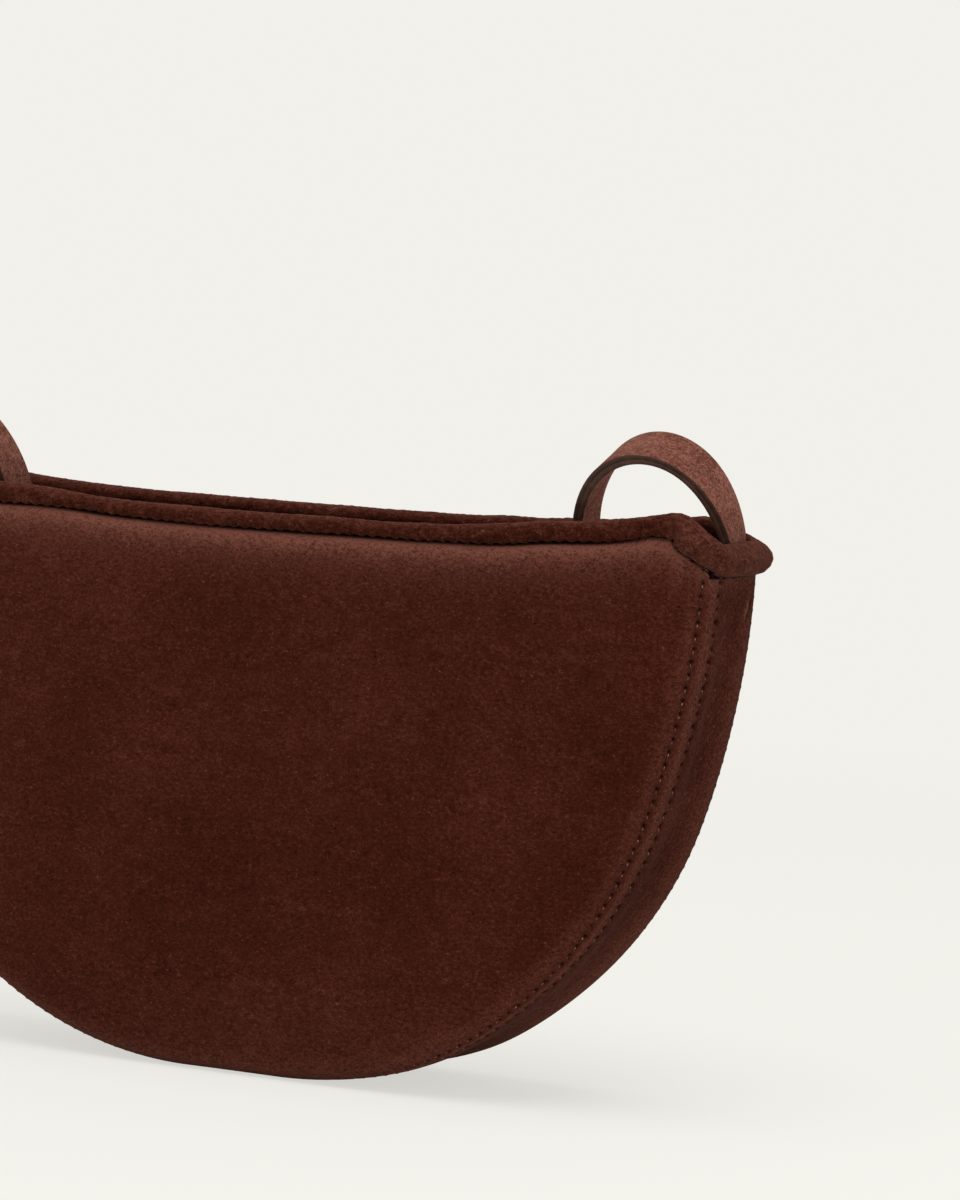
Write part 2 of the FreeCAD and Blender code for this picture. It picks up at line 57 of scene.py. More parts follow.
class Wire:
    # one shader socket: arithmetic on it adds Math nodes, node() adds any other kind
    def __init__(self, tree, socket=None):
        self.tree = tree
        self.socket = socket

    def node(self, kind, settings, sockets, out=0):
        made = self.tree.nodes.new(kind)
        for key, value in settings.items():
            if key == "stops":
                ramp = made.color_ramp.elements
                while len(ramp) < len(value):
                    ramp.new(0.5)
                for stop, (at, colour) in zip(ramp, value):
                    stop.position = at
                    stop.color = (*colour, 1)
            else:
                setattr(made, key, value)
        for key, value in sockets.items():
            if isinstance(value, Wire):
                self.tree.links.new(value.socket, made.inputs[key])
            elif hasattr(value, "__len__") and made.inputs[key].type == "RGBA":
                made.inputs[key].default_value = (*value, 1)
            else:
                made.inputs[key].default_value = value
        return Wire(self.tree, made.outputs[out] if made.outputs else None)

    def maths(self, operation, first, second):
        return self.node("ShaderNodeMath", {"operation": operation}, {0: first, 1: second})

    def __add__(self, other):
        return self.maths("ADD", self, other)

    __radd__ = __add__

    def __sub__(self, other):
        return self.maths("SUBTRACT", self, other)

    def __rsub__(self, other):
        return self.maths("SUBTRACT", other, self)

    def __mul__(self, other):
        return self.maths("MULTIPLY", self, other)

    __rmul__ = __mul__


def startPaint(owner):
    owner.use_nodes = True
    owner.node_tree.nodes.clear()
    return Wire(owner.node_tree)


def startMaterial(name):
    material = bpy.data.materials.new(name)
    paint = startPaint(material)
    return material, paint, paint.node("ShaderNodeTexCoord", {}, {}, "Object")


def mixColours(factor, first, second):
    return factor.node("ShaderNodeMix", {"data_type": "RGBA"}, {0: factor, 6: first, 7: second}, 2)


def grainNoise(place, scale, detail, stretch=None):
    if stretch:
        place = place.node("ShaderNodeMapping", {}, {"Vector": place, "Scale": stretch})
    return place.node("ShaderNodeTexNoise", {}, {"Vector": place, "Scale": scale, "Detail": detail})


def ranged(value, low, high, outLow=0.0, outHigh=1.0):
    return value.node("ShaderNodeMapRange", {}, {0: value, 1: low, 2: high, 3: outLow, 4: outHigh})


def attribute(paint, name):
    return paint.node("ShaderNodeAttribute", {"attribute_name": name}, {}, "Fac")


plainSockets = dict(   # what is the same all over a surface
    specular="Specular IOR Level", metallic="Metallic", sheen="Sheen Weight",
    sheenRoughness="Sheen Roughness", sheenTint="Sheen Tint")


def finishShader(paint, look, colour, rough, height):
    bump = paint.node("ShaderNodeBump", {}, {
        "Strength": look["bump"], "Distance": look["bumpDepth"], "Height": height})
    plain = {socket: look[key] for key, socket in plainSockets.items() if key in look}
    shader = paint.node("ShaderNodeBsdfPrincipled", {}, {
        "Base Color": colour, "Roughness": rough, "Normal": bump, **plain})
    paint.node("ShaderNodeOutputMaterial", {}, {"Surface": shader})


# Finishes

noiseMost = (0.3, 0.7)   # where most values of a noise lie

suedeLook = dict(
    dark=(0.02, 0.0032, 0.0014), middle=(0.05, 0.0098, 0.005), light=(0.1, 0.028, 0.0175),
    darkAt=0.25, middleAt=0.5, lightAt=0.78, toneMiddle=0.72, contrast=1.0,
    cloud=(22, 3.0), brush=(330, 3.0, (0.6, 1, 1)),   # scale, detail and how the nap is brushed
    grain=(1250, 2.0, (0.65, 1, 1)), fibre=(2600, 1.0, (0.8, 1, 1)),
    toneShares=(0.3, 0.22, 0.46, 0.46), reliefShares=(0, 0.25, 0.5, 0.35), bump=0.55, bumpDepth=0.4 * mm,
    tipFibre=0.6, fleck=(0.2, 0.095, 0.065), fleckRange=(0.66, 0.76), fleckShare=0.8,
    # holeShade: the colour of the painted shade in needle holes, the slit, the crease and the binding's inner
    # leaf, and of the dark pits of the grain
    pitRange=(0.36, 0.28), pitShare=0.5, holeShade=(0.004, 0.0012, 0.0008),
    # rubbed: the colour of painted light, and of the lighter fold and tips of the binding
    rubbed=(0.17, 0.06, 0.042), keptRange=(0.75, 1.25, 0.2, 0.8), rough=(0.89, 0.95),
    specular=0.02, sheen=0.09, sheenRoughness=0.45, sheenTint=(0.8, 0.5, 0.42))

bindingLook = dict(
    suedeLook, dark=(0.015, 0.0026, 0.001), middle=(0.042, 0.009, 0.0046), light=(0.095, 0.028, 0.017),
    grain=(760, 2.0, (0.65, 1, 1)), fibre=(1900, 1.0, (0.8, 1, 1)), contrast=1.2, sheen=0.05,
    bumpDepth=0.7 * mm)

gussetLook = dict(
    suedeLook, dark=(0.016, 0.0032, 0.0016), middle=(0.045, 0.01, 0.0056), light=(0.1, 0.031, 0.02),
    contrast=1.35, specular=0.004, sheen=0.04)

# a lighter, greyer copy of the suede: partly the strap's own lighter tone, mostly painted light from above
# and painted sheen; the anchor patches take it too
strapLitLook = dict(
    suedeLook, dark=(0.09, 0.029, 0.019), middle=(0.165, 0.06, 0.042), light=(0.26, 0.11, 0.08),
    cloud=(60, 3.0), contrast=2.1, fleck=(0.42, 0.24, 0.18), rubbed=(0.25, 0.11, 0.08))

# lighter still: painted light on the inner face of the strap
strapInnerLitLook = dict(
    strapLitLook, dark=(0.21, 0.07, 0.047), middle=(0.36, 0.135, 0.095), light=(0.5, 0.23, 0.17))


def suedeMaterial(name, look):
    material, paint, place = startMaterial(name)
    layers = [grainNoise(place, *look[key]) for key in ("cloud", "brush", "grain", "fibre")]
    brush, grain, fibre = layers[1:]
    tone = sum(layer * share for layer, share in zip(layers, look["toneShares"])) - look["toneMiddle"]
    stops = [(look[key + "At"], look[key]) for key in ("dark", "middle", "light")]
    colour = paint.node("ShaderNodeValToRGB", {"stops": stops}, {"Fac": tone * look["contrast"] + 0.5})
    tips = fibre * look["tipFibre"] + grain * (1 - look["tipFibre"])
    fleck = ranged(tips, *look["fleckRange"]) * look["fleckShare"]
    colour = mixColours(fleck, colour, look["fleck"])
    pit = ranged(tips, *look["pitRange"]) * look["pitShare"]
    colour = mixColours(pit, colour, look["holeShade"])
    kept = ranged(grain + fibre, *look["keptRange"])   # grain still shows through the painted light and the rub
    # painted light, with the lighter binding fold and tips, mixed into the base colour
    colour = mixColours(attribute(paint, "rub") * kept, colour, look["rubbed"])
    # painted shade: needle holes, the slit under the binding, the dark side of the gusset crease and the
    # binding's inner leaf
    colour = mixColours(attribute(paint, "hole"), colour, look["holeShade"])
    rough = ranged(brush, *noiseMost, *look["rough"])
    height = sum(layer * share for layer, share in zip(layers, look["reliefShares"]))
    finishShader(paint, look, colour, rough, height)
    return material


edgeLook = dict(
    base=(0.055, 0.024, 0.0155), worn=(0.1, 0.047, 0.031), wear=(320, 3.0), wearRange=(0.4, 0.75),
    grain=(1800, 2.0), grainRough=0, rough=(*noiseMost, 0.42, 0.62), wearRelief=1,
    specular=0.25, bump=0.4, bumpDepth=0.12 * mm)

snapLook = dict(
    base=(0.45, 0.31, 0.16), worn=(0.16, 0.1, 0.055), wear=(260, 4.0), wearRange=(0.42, 0.72),
    grain=(1500, 2.0, (1, 6, 1)), grainRough=0.3, rough=(0.4, 0.9, 0.24, 0.5), wearRelief=0,
    metallic=1.0, bump=0.15, bumpDepth=0.05 * mm)


def wornMaterial(name, look):
    material, paint, place = startMaterial(name)
    wear = grainNoise(place, *look["wear"])
    grain = grainNoise(place, *look["grain"])
    colour = mixColours(ranged(wear, *look["wearRange"]), look["base"], look["worn"])
    rough = ranged(wear + grain * look["grainRough"], *look["rough"])
    finishShader(paint, look, colour, rough, grain + wear * look["wearRelief"])
    return material


liningLook = dict(
    base=(0.032, 0.017, 0.011), thread=(0.062, 0.036, 0.025), slant=45 * degree, ribScale=150,
    ribWander=1.2, ribDetail=1.0, ribShare=0.55, slub=(420, 3.0, (1, 1, 0.3)), slubShare=0.5, slubRelief=0.6,
    rough=(0.78, 0.9), specular=0.25, sheen=0.15, bump=0.5, bumpDepth=0.15 * mm)


def liningMaterial(look):
    material, paint, place = startMaterial("cottonTwill")
    slanted = paint.node("ShaderNodeMapping", {}, {"Vector": place, "Rotation": (0, look["slant"], 0)})
    ribs = paint.node("ShaderNodeTexWave", {"bands_direction": "X"}, {
        "Vector": slanted, "Scale": look["ribScale"], "Distortion": look["ribWander"],
        "Detail": look["ribDetail"]}, 1)
    slub = grainNoise(place, *look["slub"])
    weave = ribs * look["ribShare"] + slub * look["slubShare"]
    colour = mixColours(weave, look["base"], look["thread"])
    rough = ranged(slub, *noiseMost, *look["rough"])
    finishShader(paint, look, colour, rough, ribs + slub * look["slubRelief"])
    return material


threadLook = dict(
    base=(0.05, 0.0145, 0.009), shine=(0.55, 0.34, 0.26), twist=(2600, 1.0), shineRange=(0.35, 0.65),
    rough=(0.55, 0.75), specular=0.08, bump=0.4, bumpDepth=0.1 * mm)


def threadMaterial(look):
    material, paint, place = startMaterial("sewingThread")
    twist = grainNoise(place, *look["twist"])
    glint = attribute(paint, "glint") * ranged(twist, *look["shineRange"])
    colour = mixColours(glint, look["base"], look["shine"])
    finishShader(paint, look, colour, ranged(twist, *noiseMost, *look["rough"]), twist)
    return material


suede = suedeMaterial("darkSuede", suedeLook)
bindingSuede = suedeMaterial("bindingSuede", bindingLook)
gussetSuede = suedeMaterial("gussetSuede", gussetLook)
strapSuede = suedeMaterial("strapSuede", strapLitLook)
strapInnerSuede = suedeMaterial("strapInnerSuede", strapInnerLitLook)
paintedEdge = wornMaterial("paintedEdge", edgeLook)
twill = liningMaterial(liningLook)
thread = threadMaterial(threadLook)
brass = wornMaterial("antiqueBrass", snapLook)
print("finishes made")


# The half moon that every wall follows

moon = dict(
    flat=29 * mm, cornerRadius=118.8 * mm, sideAngle=20.6 * degree, sideRadius=230 * mm,
    depth=49.6 * mm, mouthDepth=35.8 * mm, mouthHeight=157.5 * mm, edgeRadius=7 * mm, wall=2.9 * mm,
    bulge=1.3 * mm, bulgeAt=62 * mm, bulgeReach=24 * mm)   # the lower right corner bulges a little
flatHalf = moon["flat"] / 2
cornerTurn = math.pi / 2 - moon["sideAngle"]
cornerEnd = flatHalf + moon["cornerRadius"] * cornerTurn   # length where the side arc starts
radiusStep = moon["sideRadius"] - moon["cornerRadius"]
sideCentreX = flatHalf - radiusStep * math.cos(moon["sideAngle"])
sideCentreZ = moon["cornerRadius"] + radiusStep * math.sin(moon["sideAngle"])


def hump(x, at, reach):
    return np.exp(-((x - at) / reach) ** 2)


def outlineAt(s):
    # x, z and outward normal at length s from the middle of the bottom, right side positive
    a = np.abs(s)
    onCorner = a < cornerEnd
    turn = np.where(onCorner, np.maximum(a - flatHalf, 0) / moon["cornerRadius"],
                    cornerTurn + (a - cornerEnd) / moon["sideRadius"])
    nx, nz = np.sin(turn), -np.cos(turn)
    x = np.where(onCorner, flatHalf + moon["cornerRadius"] * nx, sideCentreX + moon["sideRadius"] * nx)
    z = np.where(onCorner, moon["cornerRadius"] * (1 + nz), sideCentreZ + moon["sideRadius"] * nz)
    side = np.where(s < 0, -1.0, 1.0)
    out = moon["bulge"] * hump(s, moon["bulgeAt"], moon["bulgeReach"])
    return side * (np.where(a < flatHalf, a, x) + out * nx), z + out * nz, side * nx, nz


def insideAt(s, inset):
    # x and z of a line that far inside the outline
    x, z, nx, nz = outlineAt(s)
    return x - inset * nx, z - inset * nz


def lengthAtHeight(height):
    climb = np.arcsin((height - sideCentreZ) / moon["sideRadius"]) + moon["sideAngle"]
    return cornerEnd + moon["sideRadius"] * climb


def insetAt(x, z):
    # how far a point of a panel lies inside the outline
    a = np.abs(x) - flatHalf
    onSide = z - moon["cornerRadius"] > -math.tan(moon["sideAngle"]) * a
    corner = moon["cornerRadius"] - np.hypot(np.maximum(a, 0), z - moon["cornerRadius"])
    side = moon["sideRadius"] - np.hypot(np.abs(x) - sideCentreX, z - sideCentreZ)
    return np.where(onSide, side, corner)


def halfDepth(z):
    return moon["depth"] / 2 - (moon["depth"] - moon["mouthDepth"]) / 2 * z / moon["mouthHeight"]


def eased(t):
    t = np.clip(t, 0, 1)
    return t * t * (3 - 2 * t)


seedWay = (1, 1.7, 0.3)   # a seed moves this way to its own part of the noise


def waver(points, scale, seed):
    # slow noise over an array of points, about -1 to 1
    shift = Vector([seed * part for part in seedWay])
    flat = [noise.noise(Vector(p) / scale + shift) for p in points.reshape(-1, 3).tolist()]
    return np.array(flat).reshape(points.shape[:-1])


def unit(vectors):
    return vectors / np.linalg.norm(vectors, axis=1)[:, None]


def lengthsAlong(path):
    return np.concatenate([[0], np.cumsum(np.linalg.norm(np.diff(path, axis=0), axis=1))])


# The rim: a closed path round the mouth, at the middle of the wall

rim = dict(
    middle=157.45 * mm, rise=5.04 * mm, lift=2.08 * mm, span=128 * mm,   # height along the front and back
    tip=157.4 * mm, soften=2.4 * mm, softenings=2, step=0.6 * mm,
    wave=0.2 * mm, waveLength=42 * mm, waveSeed=3.1,
    push=0.8 * mm, pushReach=9 * mm)   # the strap pushes the ends out a little
rimSides = {   # front and back; a sway has its place, reach and height in mm
    -1: dict(peakX=132 * mm, footTurn=94 * degree,
             sways=[(58, 22, -0.8), (90, 12, 0.6), (127, 11, 0.9), (-72, 18, 1.1)]),
    1: dict(peakX=124 * mm, footTurn=50 * degree,
            sways=[(-8, 52, 1.3), (112, 30, -0.9), (-88, 18, 0.4)]),
}


def rimHeight(x, side):
    q = (x / rim["span"]) ** 2
    sway = sum(high * hump(x / mm, at, reach) for at, reach, high in rimSides[side]["sways"])
    return rim["middle"] + rim["rise"] * q + rim["lift"] * q * q + sway * mm


def rimPath():
    sideX = outlineAt(lengthAtHeight(rim["tip"]))[0]
    yOuter = halfDepth(rim["middle"])
    radius = moon["edgeRadius"]
    straight, arc, across = sideX - radius, radius * math.pi / 2, yOuter - radius
    quarter = straight + arc + across
    count = round(4 * quarter / rim["step"])
    at = np.arange(count) * 4 * quarter / count
    quarterNo = (at // quarter).astype(int)
    local = np.where(quarterNo % 2 == 0, at - quarterNo * quarter, (quarterNo + 1) * quarter - at)
    turn = np.clip((local - straight) / radius, 0, math.pi / 2)
    mid = radius - moon["wall"] / 2
    x = np.minimum(local, straight) + mid * np.sin(turn)
    y = -(across + mid * np.cos(turn)) + np.maximum(local - straight - arc, 0)
    front = quarterNo % 3 == 0
    xSign = np.where(quarterNo < 2, 1, -1)
    z, ramp = np.zeros(count), np.zeros(count)
    for side, chosen in ((-1, front), (1, ~front)):
        peakX = rimSides[side]["peakX"]
        foot = straight + radius * rimSides[side]["footTurn"]
        down = np.clip((local - peakX) / (foot - peakX), 0, 1)
        high = rimHeight(np.minimum(x, peakX) * xSign, side)
        ramp = np.where(chosen, down, ramp)
        z = np.where(chosen, high * (1 - down) + rim["tip"] * down, z)
    window = round(rim["soften"] / rim["step"])
    for softening in range(rim["softenings"]):
        z = sum(np.roll(z, k) for k in range(-window, window + 1)) / (2 * window + 1)
    x = x + rim["push"] * ramp * hump(y, 0, rim["pushReach"])
    path = np.stack([x * xSign, np.where(front, y, -y), z], 1)
    path[:, 2] += rim["wave"] * waver(path, rim["waveLength"], rim["waveSeed"])
    return path, ramp


rimPoints, rimRamp = rimPath()
rimSwell = eased(rimRamp)
rimLength = lengthsAlong(rimPoints)
rimAlong = unit(np.roll(rimPoints, -1, 0) - np.roll(rimPoints, 1, 0))
rimOut = unit(np.stack([rimAlong[:, 1], -rimAlong[:, 0], np.zeros(len(rimPoints))], 1))
rimUp = np.cross(rimOut, rimAlong)


# Binding: how far its fold reaches down the walls

binding = dict(
    # outer leaf of the section: out from the middle of the wall, up from the fold, in mm
    outside=[(0, 0), (1.1, -0.2), (2.0, -0.75), (2.55, -1.6), (2.75, -2.5), (2.65, -3.4), (2.2, -4.2),
             (1.5, -4.6)],
    inside=[(1.15, -4.5), (1.25, -3.4), (1.3, -2.2), (0.9, -1.45), (0, -1.25)],
    innerLeaf=1.3, drop=4.6 * mm,
    deeper=0.27, deeperFrom=55 * mm, deeperReach=30 * mm, tipDeeper=0.73, tipFrom=120 * mm,
    tipReach=17 * mm, tipSwell=0.45, tipOut=1.9 * mm, tipInside=0.28,
    pinch=0.4 * mm, pinchIn=0.6, tipSlack=0.6,   # pulled up and in at each stitch, less at the tips
    # lighter along the fold and on the outer tips; painted shade on the inner leaf towards the tips
    foldRub=0.4, foldReach=0.9 * mm, tipRub=0.4, insideShade=0.7, insideFrom=112 * mm,
    fuzz=0.16 * mm, fuzzLength=1.1 * mm, fuzzSeed=1.3, lumps=0.35 * mm, lumpLength=14 * mm, lumpSeed=7.7)
rimAway = np.abs(rimPoints[:, 0])
rimTip = eased((rimAway - binding["tipFrom"]) / binding["tipReach"])
rimDeeper = (1 + binding["deeper"] * eased((rimAway - binding["deeperFrom"]) / binding["deeperReach"])
             + binding["tipDeeper"] * rimTip)
lowerEdge = rimPoints - rimUp * (binding["drop"] * rimDeeper)[:, None]


def sideLine(points, side):
    half = points[rimPoints[:, 1] * side > 0]
    half = half[np.argsort(half[:, 0])]
    return half[:, 0], half[:, 2]


rimLines = {side: sideLine(rimPoints, side) for side in (-1, 1)}
lowLines = {side: sideLine(lowerEdge, side) for side in (-1, 1)}


def slitHeight(x, side):
    return np.interp(x, *lowLines[side])


# Mesh tools

def placed(name, data):
    obj = bpy.data.objects.new(name, data)
    bpy.context.scene.collection.objects.link(obj)
    return obj


def newObject(name, vertices, faces, materials):
    mesh = bpy.data.meshes.new(name)
    mesh.from_pydata(np.asarray(vertices).reshape(-1, 3).tolist(), [], faces)
    for material in materials:
        mesh.materials.append(material)
    mesh.polygons.foreach_set("use_smooth", [True] * len(mesh.polygons))
    mesh.update()
    return placed(name, mesh)


def gridFaces(rows, columns, closeRows=False, closeColumns=False, flip=False):
    i, j = np.meshgrid(np.arange(rows if closeRows else rows - 1),
                       np.arange(columns if closeColumns else columns - 1), indexing="ij")
    nextI, nextJ = (i + 1) % rows, (j + 1) % columns
    quads = np.stack([i * columns + j, i * columns + nextJ, nextI * columns + nextJ, nextI * columns + j], -1)
    quads = quads.reshape(-1, 4)
    return (quads[:, ::-1] if flip else quads).tolist()


def endCaps(rows, columns):
    first = list(range(columns))
    return [first[::-1], [(rows - 1) * columns + k for k in first]]


def addValues(obj, name, values):
    layer = obj.data.attributes.new(name, "FLOAT", "POINT")
    layer.data.foreach_set("value", np.asarray(values, np.float32).ravel())


def newSheet(name, points, flip, material, thickness):
    # a grid of points that is thickened on its inner side
    obj = newObject(name, points, gridFaces(*points.shape[:2], flip=flip), [material])
    solid = obj.modifiers.new("thickness", "SOLIDIFY")
    solid.thickness = thickness
    solid.offset = -1
    solid.use_even_offset = True
    return obj


def rowsAcross(x, half, z, count):
    # rows of a sheet from front to back, each along x and z
    return np.array([np.stack([x, half * share, z], 1) for share in np.linspace(-1, 1, count)])


def dress(obj, body, slot, *nodes):
    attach(obj, body)
    if nodes:
        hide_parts(*nodes)
    return obj


# Panels: rings round the edge, then rows up to the rim

stitch = dict(
    pitch=3.6 * mm, samples=6, firstTurn=43, secondTurn=104, backShift=34,   # turns in degrees
    firstDrift=12, secondDrift=-20, driftAt=78 * mm, driftReach=57 * mm,   # the front's rows draw together
    firstUnder=21, secondUnder=0, underFrom=-130 * mm, underTo=57 * mm, underFade=28 * mm,   # hidden below
    flatter=0.85, flatBeyond=17 * mm,   # the nap closes over the holes that lie below
    holeDepth=0.55 * mm, holeWidth=0.58 * mm, secondWidth=1.6, backDepth=0.1,
    uneven=0.2, unevenStep=2.4, astray=0.13 * mm, astrayStep=3.7, groove=0.12 * mm, grooveWidth=0.9 * mm)

panel = dict(
    sewn=1, thickness=1.4 * mm, radius=moon["edgeRadius"], inward=0, step=stitch["pitch"] / stitch["samples"],
    covered=3 * mm, evenHeight=150 * mm, endColumns=8, endSearch=110 * mm, halvings=40, seamTurn=70,
    seamDips=((0, 1.0), (1.2, 0.55), (2.5, 0.22), (4, 0.05)),   # degrees from the seam, share of the dip
    nearRow=(21, 15, 11, 8, 5.5, 3.5, 1.8, 0.9, 0, -0.9, -1.8, -3.5, -6, -9.5),   # degrees from the stitches
    toFace=(28, 22.5, 17, 11, 5.5, 0), faceInsets=(8.2, 9.8, 12, 15, 19), rows=24, squeeze=0.4,
    nearSlit=(35, 27, 21, 16.5, 13, 10.5, 8.5, 7, 6, 5.2, 4.5, 3.9, 3.4, 2.9, 2.5, 2.1, 1.7, 1.4, 1.1, 0.85,
              0.6, 0.4, 0.2, 0, -0.4, -1.2, -3),   # mm below the slit
    crown=0.4 * mm, crownReach=45 * mm, roll=2.2 * mm, rollReach=6 * mm, rollSide=14 * mm,
    tucked=0.9 * mm, slit=0.5 * mm, slitFrom=0.5, endSlit=0.6, endFrom=122 * mm, endReach=10 * mm,
    seamDip=0.15 * mm, ripple=0.3 * mm, rippleLength=48 * mm, rippleSeed=5.0,
    # painted light: sheen along the edge ridge, the band between the rows, light from the floor at the bottom
    # and the highlight under the binding
    edgeRub=0.35, edgeRubTurn=25, edgeRubReach=17, seamRub=0.65, seamRubTurn=73, seamRubReach=19,
    bottomRub=0.16, bottomReach=40 * mm, rimRub=2.8, rimRubReach=4.1 * mm, ringRub=0.6)

panelTurns = [(panel["seamTurn"] - away, dip) for away, dip in panel["seamDips"]]
panelTurns += [(stitch["firstTurn"] + away, 0) for away in panel["nearRow"]]
panelTurns += [(turn, 0) for turn in panel["toFace"]]


def puff(x, z, side):
    # how far the face swells in front of its leaning plane
    inset = insetAt(x, z) - moon["edgeRadius"]
    below = np.interp(x, *rimLines[side]) - z
    crown = panel["crown"] * eased(inset / panel["crownReach"]) * eased(below / panel["crownReach"])
    past = np.clip((slitHeight(x, side) - z - panel["slit"]) / panel["rollReach"], 0, 1)
    shoulder = np.sqrt(1 - (1 - past) ** 2)   # a quarter round out of the slit under the binding
    share = eased(inset / panel["rollSide"])
    return crown + share * ((panel["roll"] + panel["tucked"]) * shoulder - panel["tucked"])


# painted light from the floor on the lowest part of the walls
def bottomRub(z):
    return panel["bottomRub"] * eased(1 - z / panel["bottomReach"])


def edgeRub(degrees, z):
    # how much light is painted round the edge, between the stitched rows and at the bottom: painted sheen on
    # the ridge, painted light on the band between the rows, painted light from the floor low down
    over, between = [panel[key] * hump(degrees, panel[key + "Turn"], panel[key + "Reach"])
                     for key in ("edgeRub", "seamRub")]
    return over + between + bottomRub(z)


def rimRub(x, z, side):
    # painted highlight on the nap under the binding, and painted shade in the slit itself
    below = slitHeight(x, side) - z
    rub = panel["rimRub"] * np.exp(-np.maximum(below, 0) / panel["rimRubReach"])
    width = panel["slit"] * (1 - panel["endSlit"] * eased((np.abs(x) - panel["endFrom"]) / panel["endReach"]))
    return rub, 1 - eased((below - panel["slitFrom"] * width) / width)


def ringColumns(inset, side, spec):
    # lengths along a ring: even steps, then a few that run up into the binding
    low, high = cornerEnd, cornerEnd + panel["endSearch"]
    for halving in range(panel["halvings"]):
        s = (low + high) / 2
        x, z = insideAt(s, inset)
        if z < slitHeight(x, side) + spec["covered"]:
            low = s
        else:
            high = s
    count = round(lengthAtHeight(spec["evenHeight"]) / spec["step"])
    even = np.arange(-count, count + 1) * spec["step"]
    more = np.linspace(even[-1], low, spec["endColumns"] + 1)[1:]
    return np.concatenate([-more[::-1], even, more])


def rowUnder(s, side):
    # 1 along the bottom of the front, where the first row turns under the edge
    start = eased((s - stitch["underFrom"]) / stitch["underFade"])
    return start * eased((stitch["underTo"] - s) / stitch["underFade"]) * (side < 0)


def rowShown(s, side):
    return 1 - stitch["flatter"] * rowUnder(s - stitch["flatBeyond"], side)


def rowDrift(s, side, row):
    # degrees that a row of the front strays from its turn
    drift = stitch[row + "Drift"] * hump(s, stitch["driftAt"], stitch["driftReach"]) * (side < 0)
    return drift + stitch[row + "Under"] * rowUnder(s, side)


def drifted(degrees, row, first, last, drift):
    # a ring moves with its row of stitches, less towards the two ends of the span
    share = (degrees - first) / (row - first) if degrees < row else (last - degrees) / (last - row)
    return np.radians(degrees + max(share, 0) * drift)


def holeShare(s, off):
    # 1 in the middle of a needle hole, fading round it; off is the distance from the row
    number = np.round(s / stitch["pitch"])
    along = s - number * stitch["pitch"]
    width = stitch["holeWidth"] * (1 + stitch["uneven"] * np.sin(stitch["unevenStep"] * number))
    off = off + stitch["astray"] * np.sin(stitch["astrayStep"] * number)
    return np.exp(-(along ** 2 + off ** 2) / width ** 2)


def grooveAt(off):
    return stitch["groove"] * hump(off, 0, stitch["grooveWidth"])


def panelRipple(points, side, spec):
    return side * spec["ripple"] * waver(points, spec["rippleLength"], spec["rippleSeed"] + side)


def wallPanel(name, side, spec, turns, rowTurn, material):
    # side -1 is the front; rowTurn is where the stitches run; inward is measured from the outer skin
    radius, inward = spec["radius"], spec["inward"]
    rings, shades, lightsAndRubs = [], [], []

    def addRow(x, z, back, rub, rimShare=1, hole=0):
        rings.append(np.stack([x, side * (halfDepth(z) - back), z], 1))
        underRim, slit = rimRub(x, z, side)
        shades.append(np.maximum(hole, slit))
        lightsAndRubs.append(np.maximum(underRim * rimShare, rub))

    def addFaceRow(x, z):
        addRow(x, z, inward - puff(x, z, side), bottomRub(z))

    for degrees, dip in turns:
        s = ringColumns(inward + radius * (1 - math.sin(degrees * degree)), side, spec)
        drift = rowDrift(s, side, "first") * spec["sewn"]
        turn = drifted(degrees, rowTurn, 0, turns[0][0], drift)
        off = radius * (turn - np.radians(rowTurn + drift))
        # each needle hole is dented and painted with shade
        hole = holeShare(s, off) * spec["sewn"] * rowShown(s, side)
        dent = dip * spec["seamDip"] + hole * stitch["holeDepth"] + grooveAt(off) * spec["sewn"]
        x, z = insideAt(s, inward + radius * (1 - np.sin(turn)) + dent * np.sin(turn))
        back = inward + radius * (1 - np.cos(turn)) + dent * np.cos(turn)
        # the rings take a share of the painted highlight under the binding, and the painted shade of the
        # holes
        addRow(x, z, back, edgeRub(degrees, z), panel["ringRub"], hole)
    for extra in spec["faceInsets"]:
        s = ringColumns(inward + extra * mm, side, spec)
        addFaceRow(*insideAt(s, inward + extra * mm))
    last = rings[-1]
    rimX = last[-1, 0] * s / s[-1]
    rise = np.maximum(slitHeight(rimX, side) + spec["covered"] - last[:, 2], tiny)
    near = np.minimum(1, rise / (rise.max() * panel["squeeze"]))   # short columns squeeze the last rows
    nearTop = [(below * mm + spec["covered"]) * near for below in spec["nearSlit"]]
    stops = [rise + (nearTop[0] - rise) * k / spec["rows"] for k in range(1, spec["rows"])] + nearTop
    for left in stops:
        t = 1 - left / rise
        addFaceRow(last[:, 0] + (rimX - last[:, 0]) * t, last[:, 2] + rise * t)
    points = np.array(rings)
    points[:, :, 1] += panelRipple(points, side, spec)
    obj = newSheet(name, points, side > 0, material, spec["thickness"])
    addValues(obj, "hole", shades)
    addValues(obj, "rub", lightsAndRubs)
    return obj


backTurns = [(turn - stitch["backShift"], dip) for turn, dip in panelTurns if turn > stitch["backShift"]]
backTurns += [(0, 0)]
backRow = stitch["firstTurn"] - stitch["backShift"]
frontPanel = wallPanel("frontPanel", -1, panel, panelTurns, stitch["firstTurn"], suede)
backPanel = wallPanel("backPanel", 1, panel, backTurns, backRow, suede)
dress(frontPanel, "bag", "suede", "front_panel")
dress(backPanel, "bag", "suede", "back_panel")
print("panels made")


# Gusset: one strip round the half moon, between the two seams

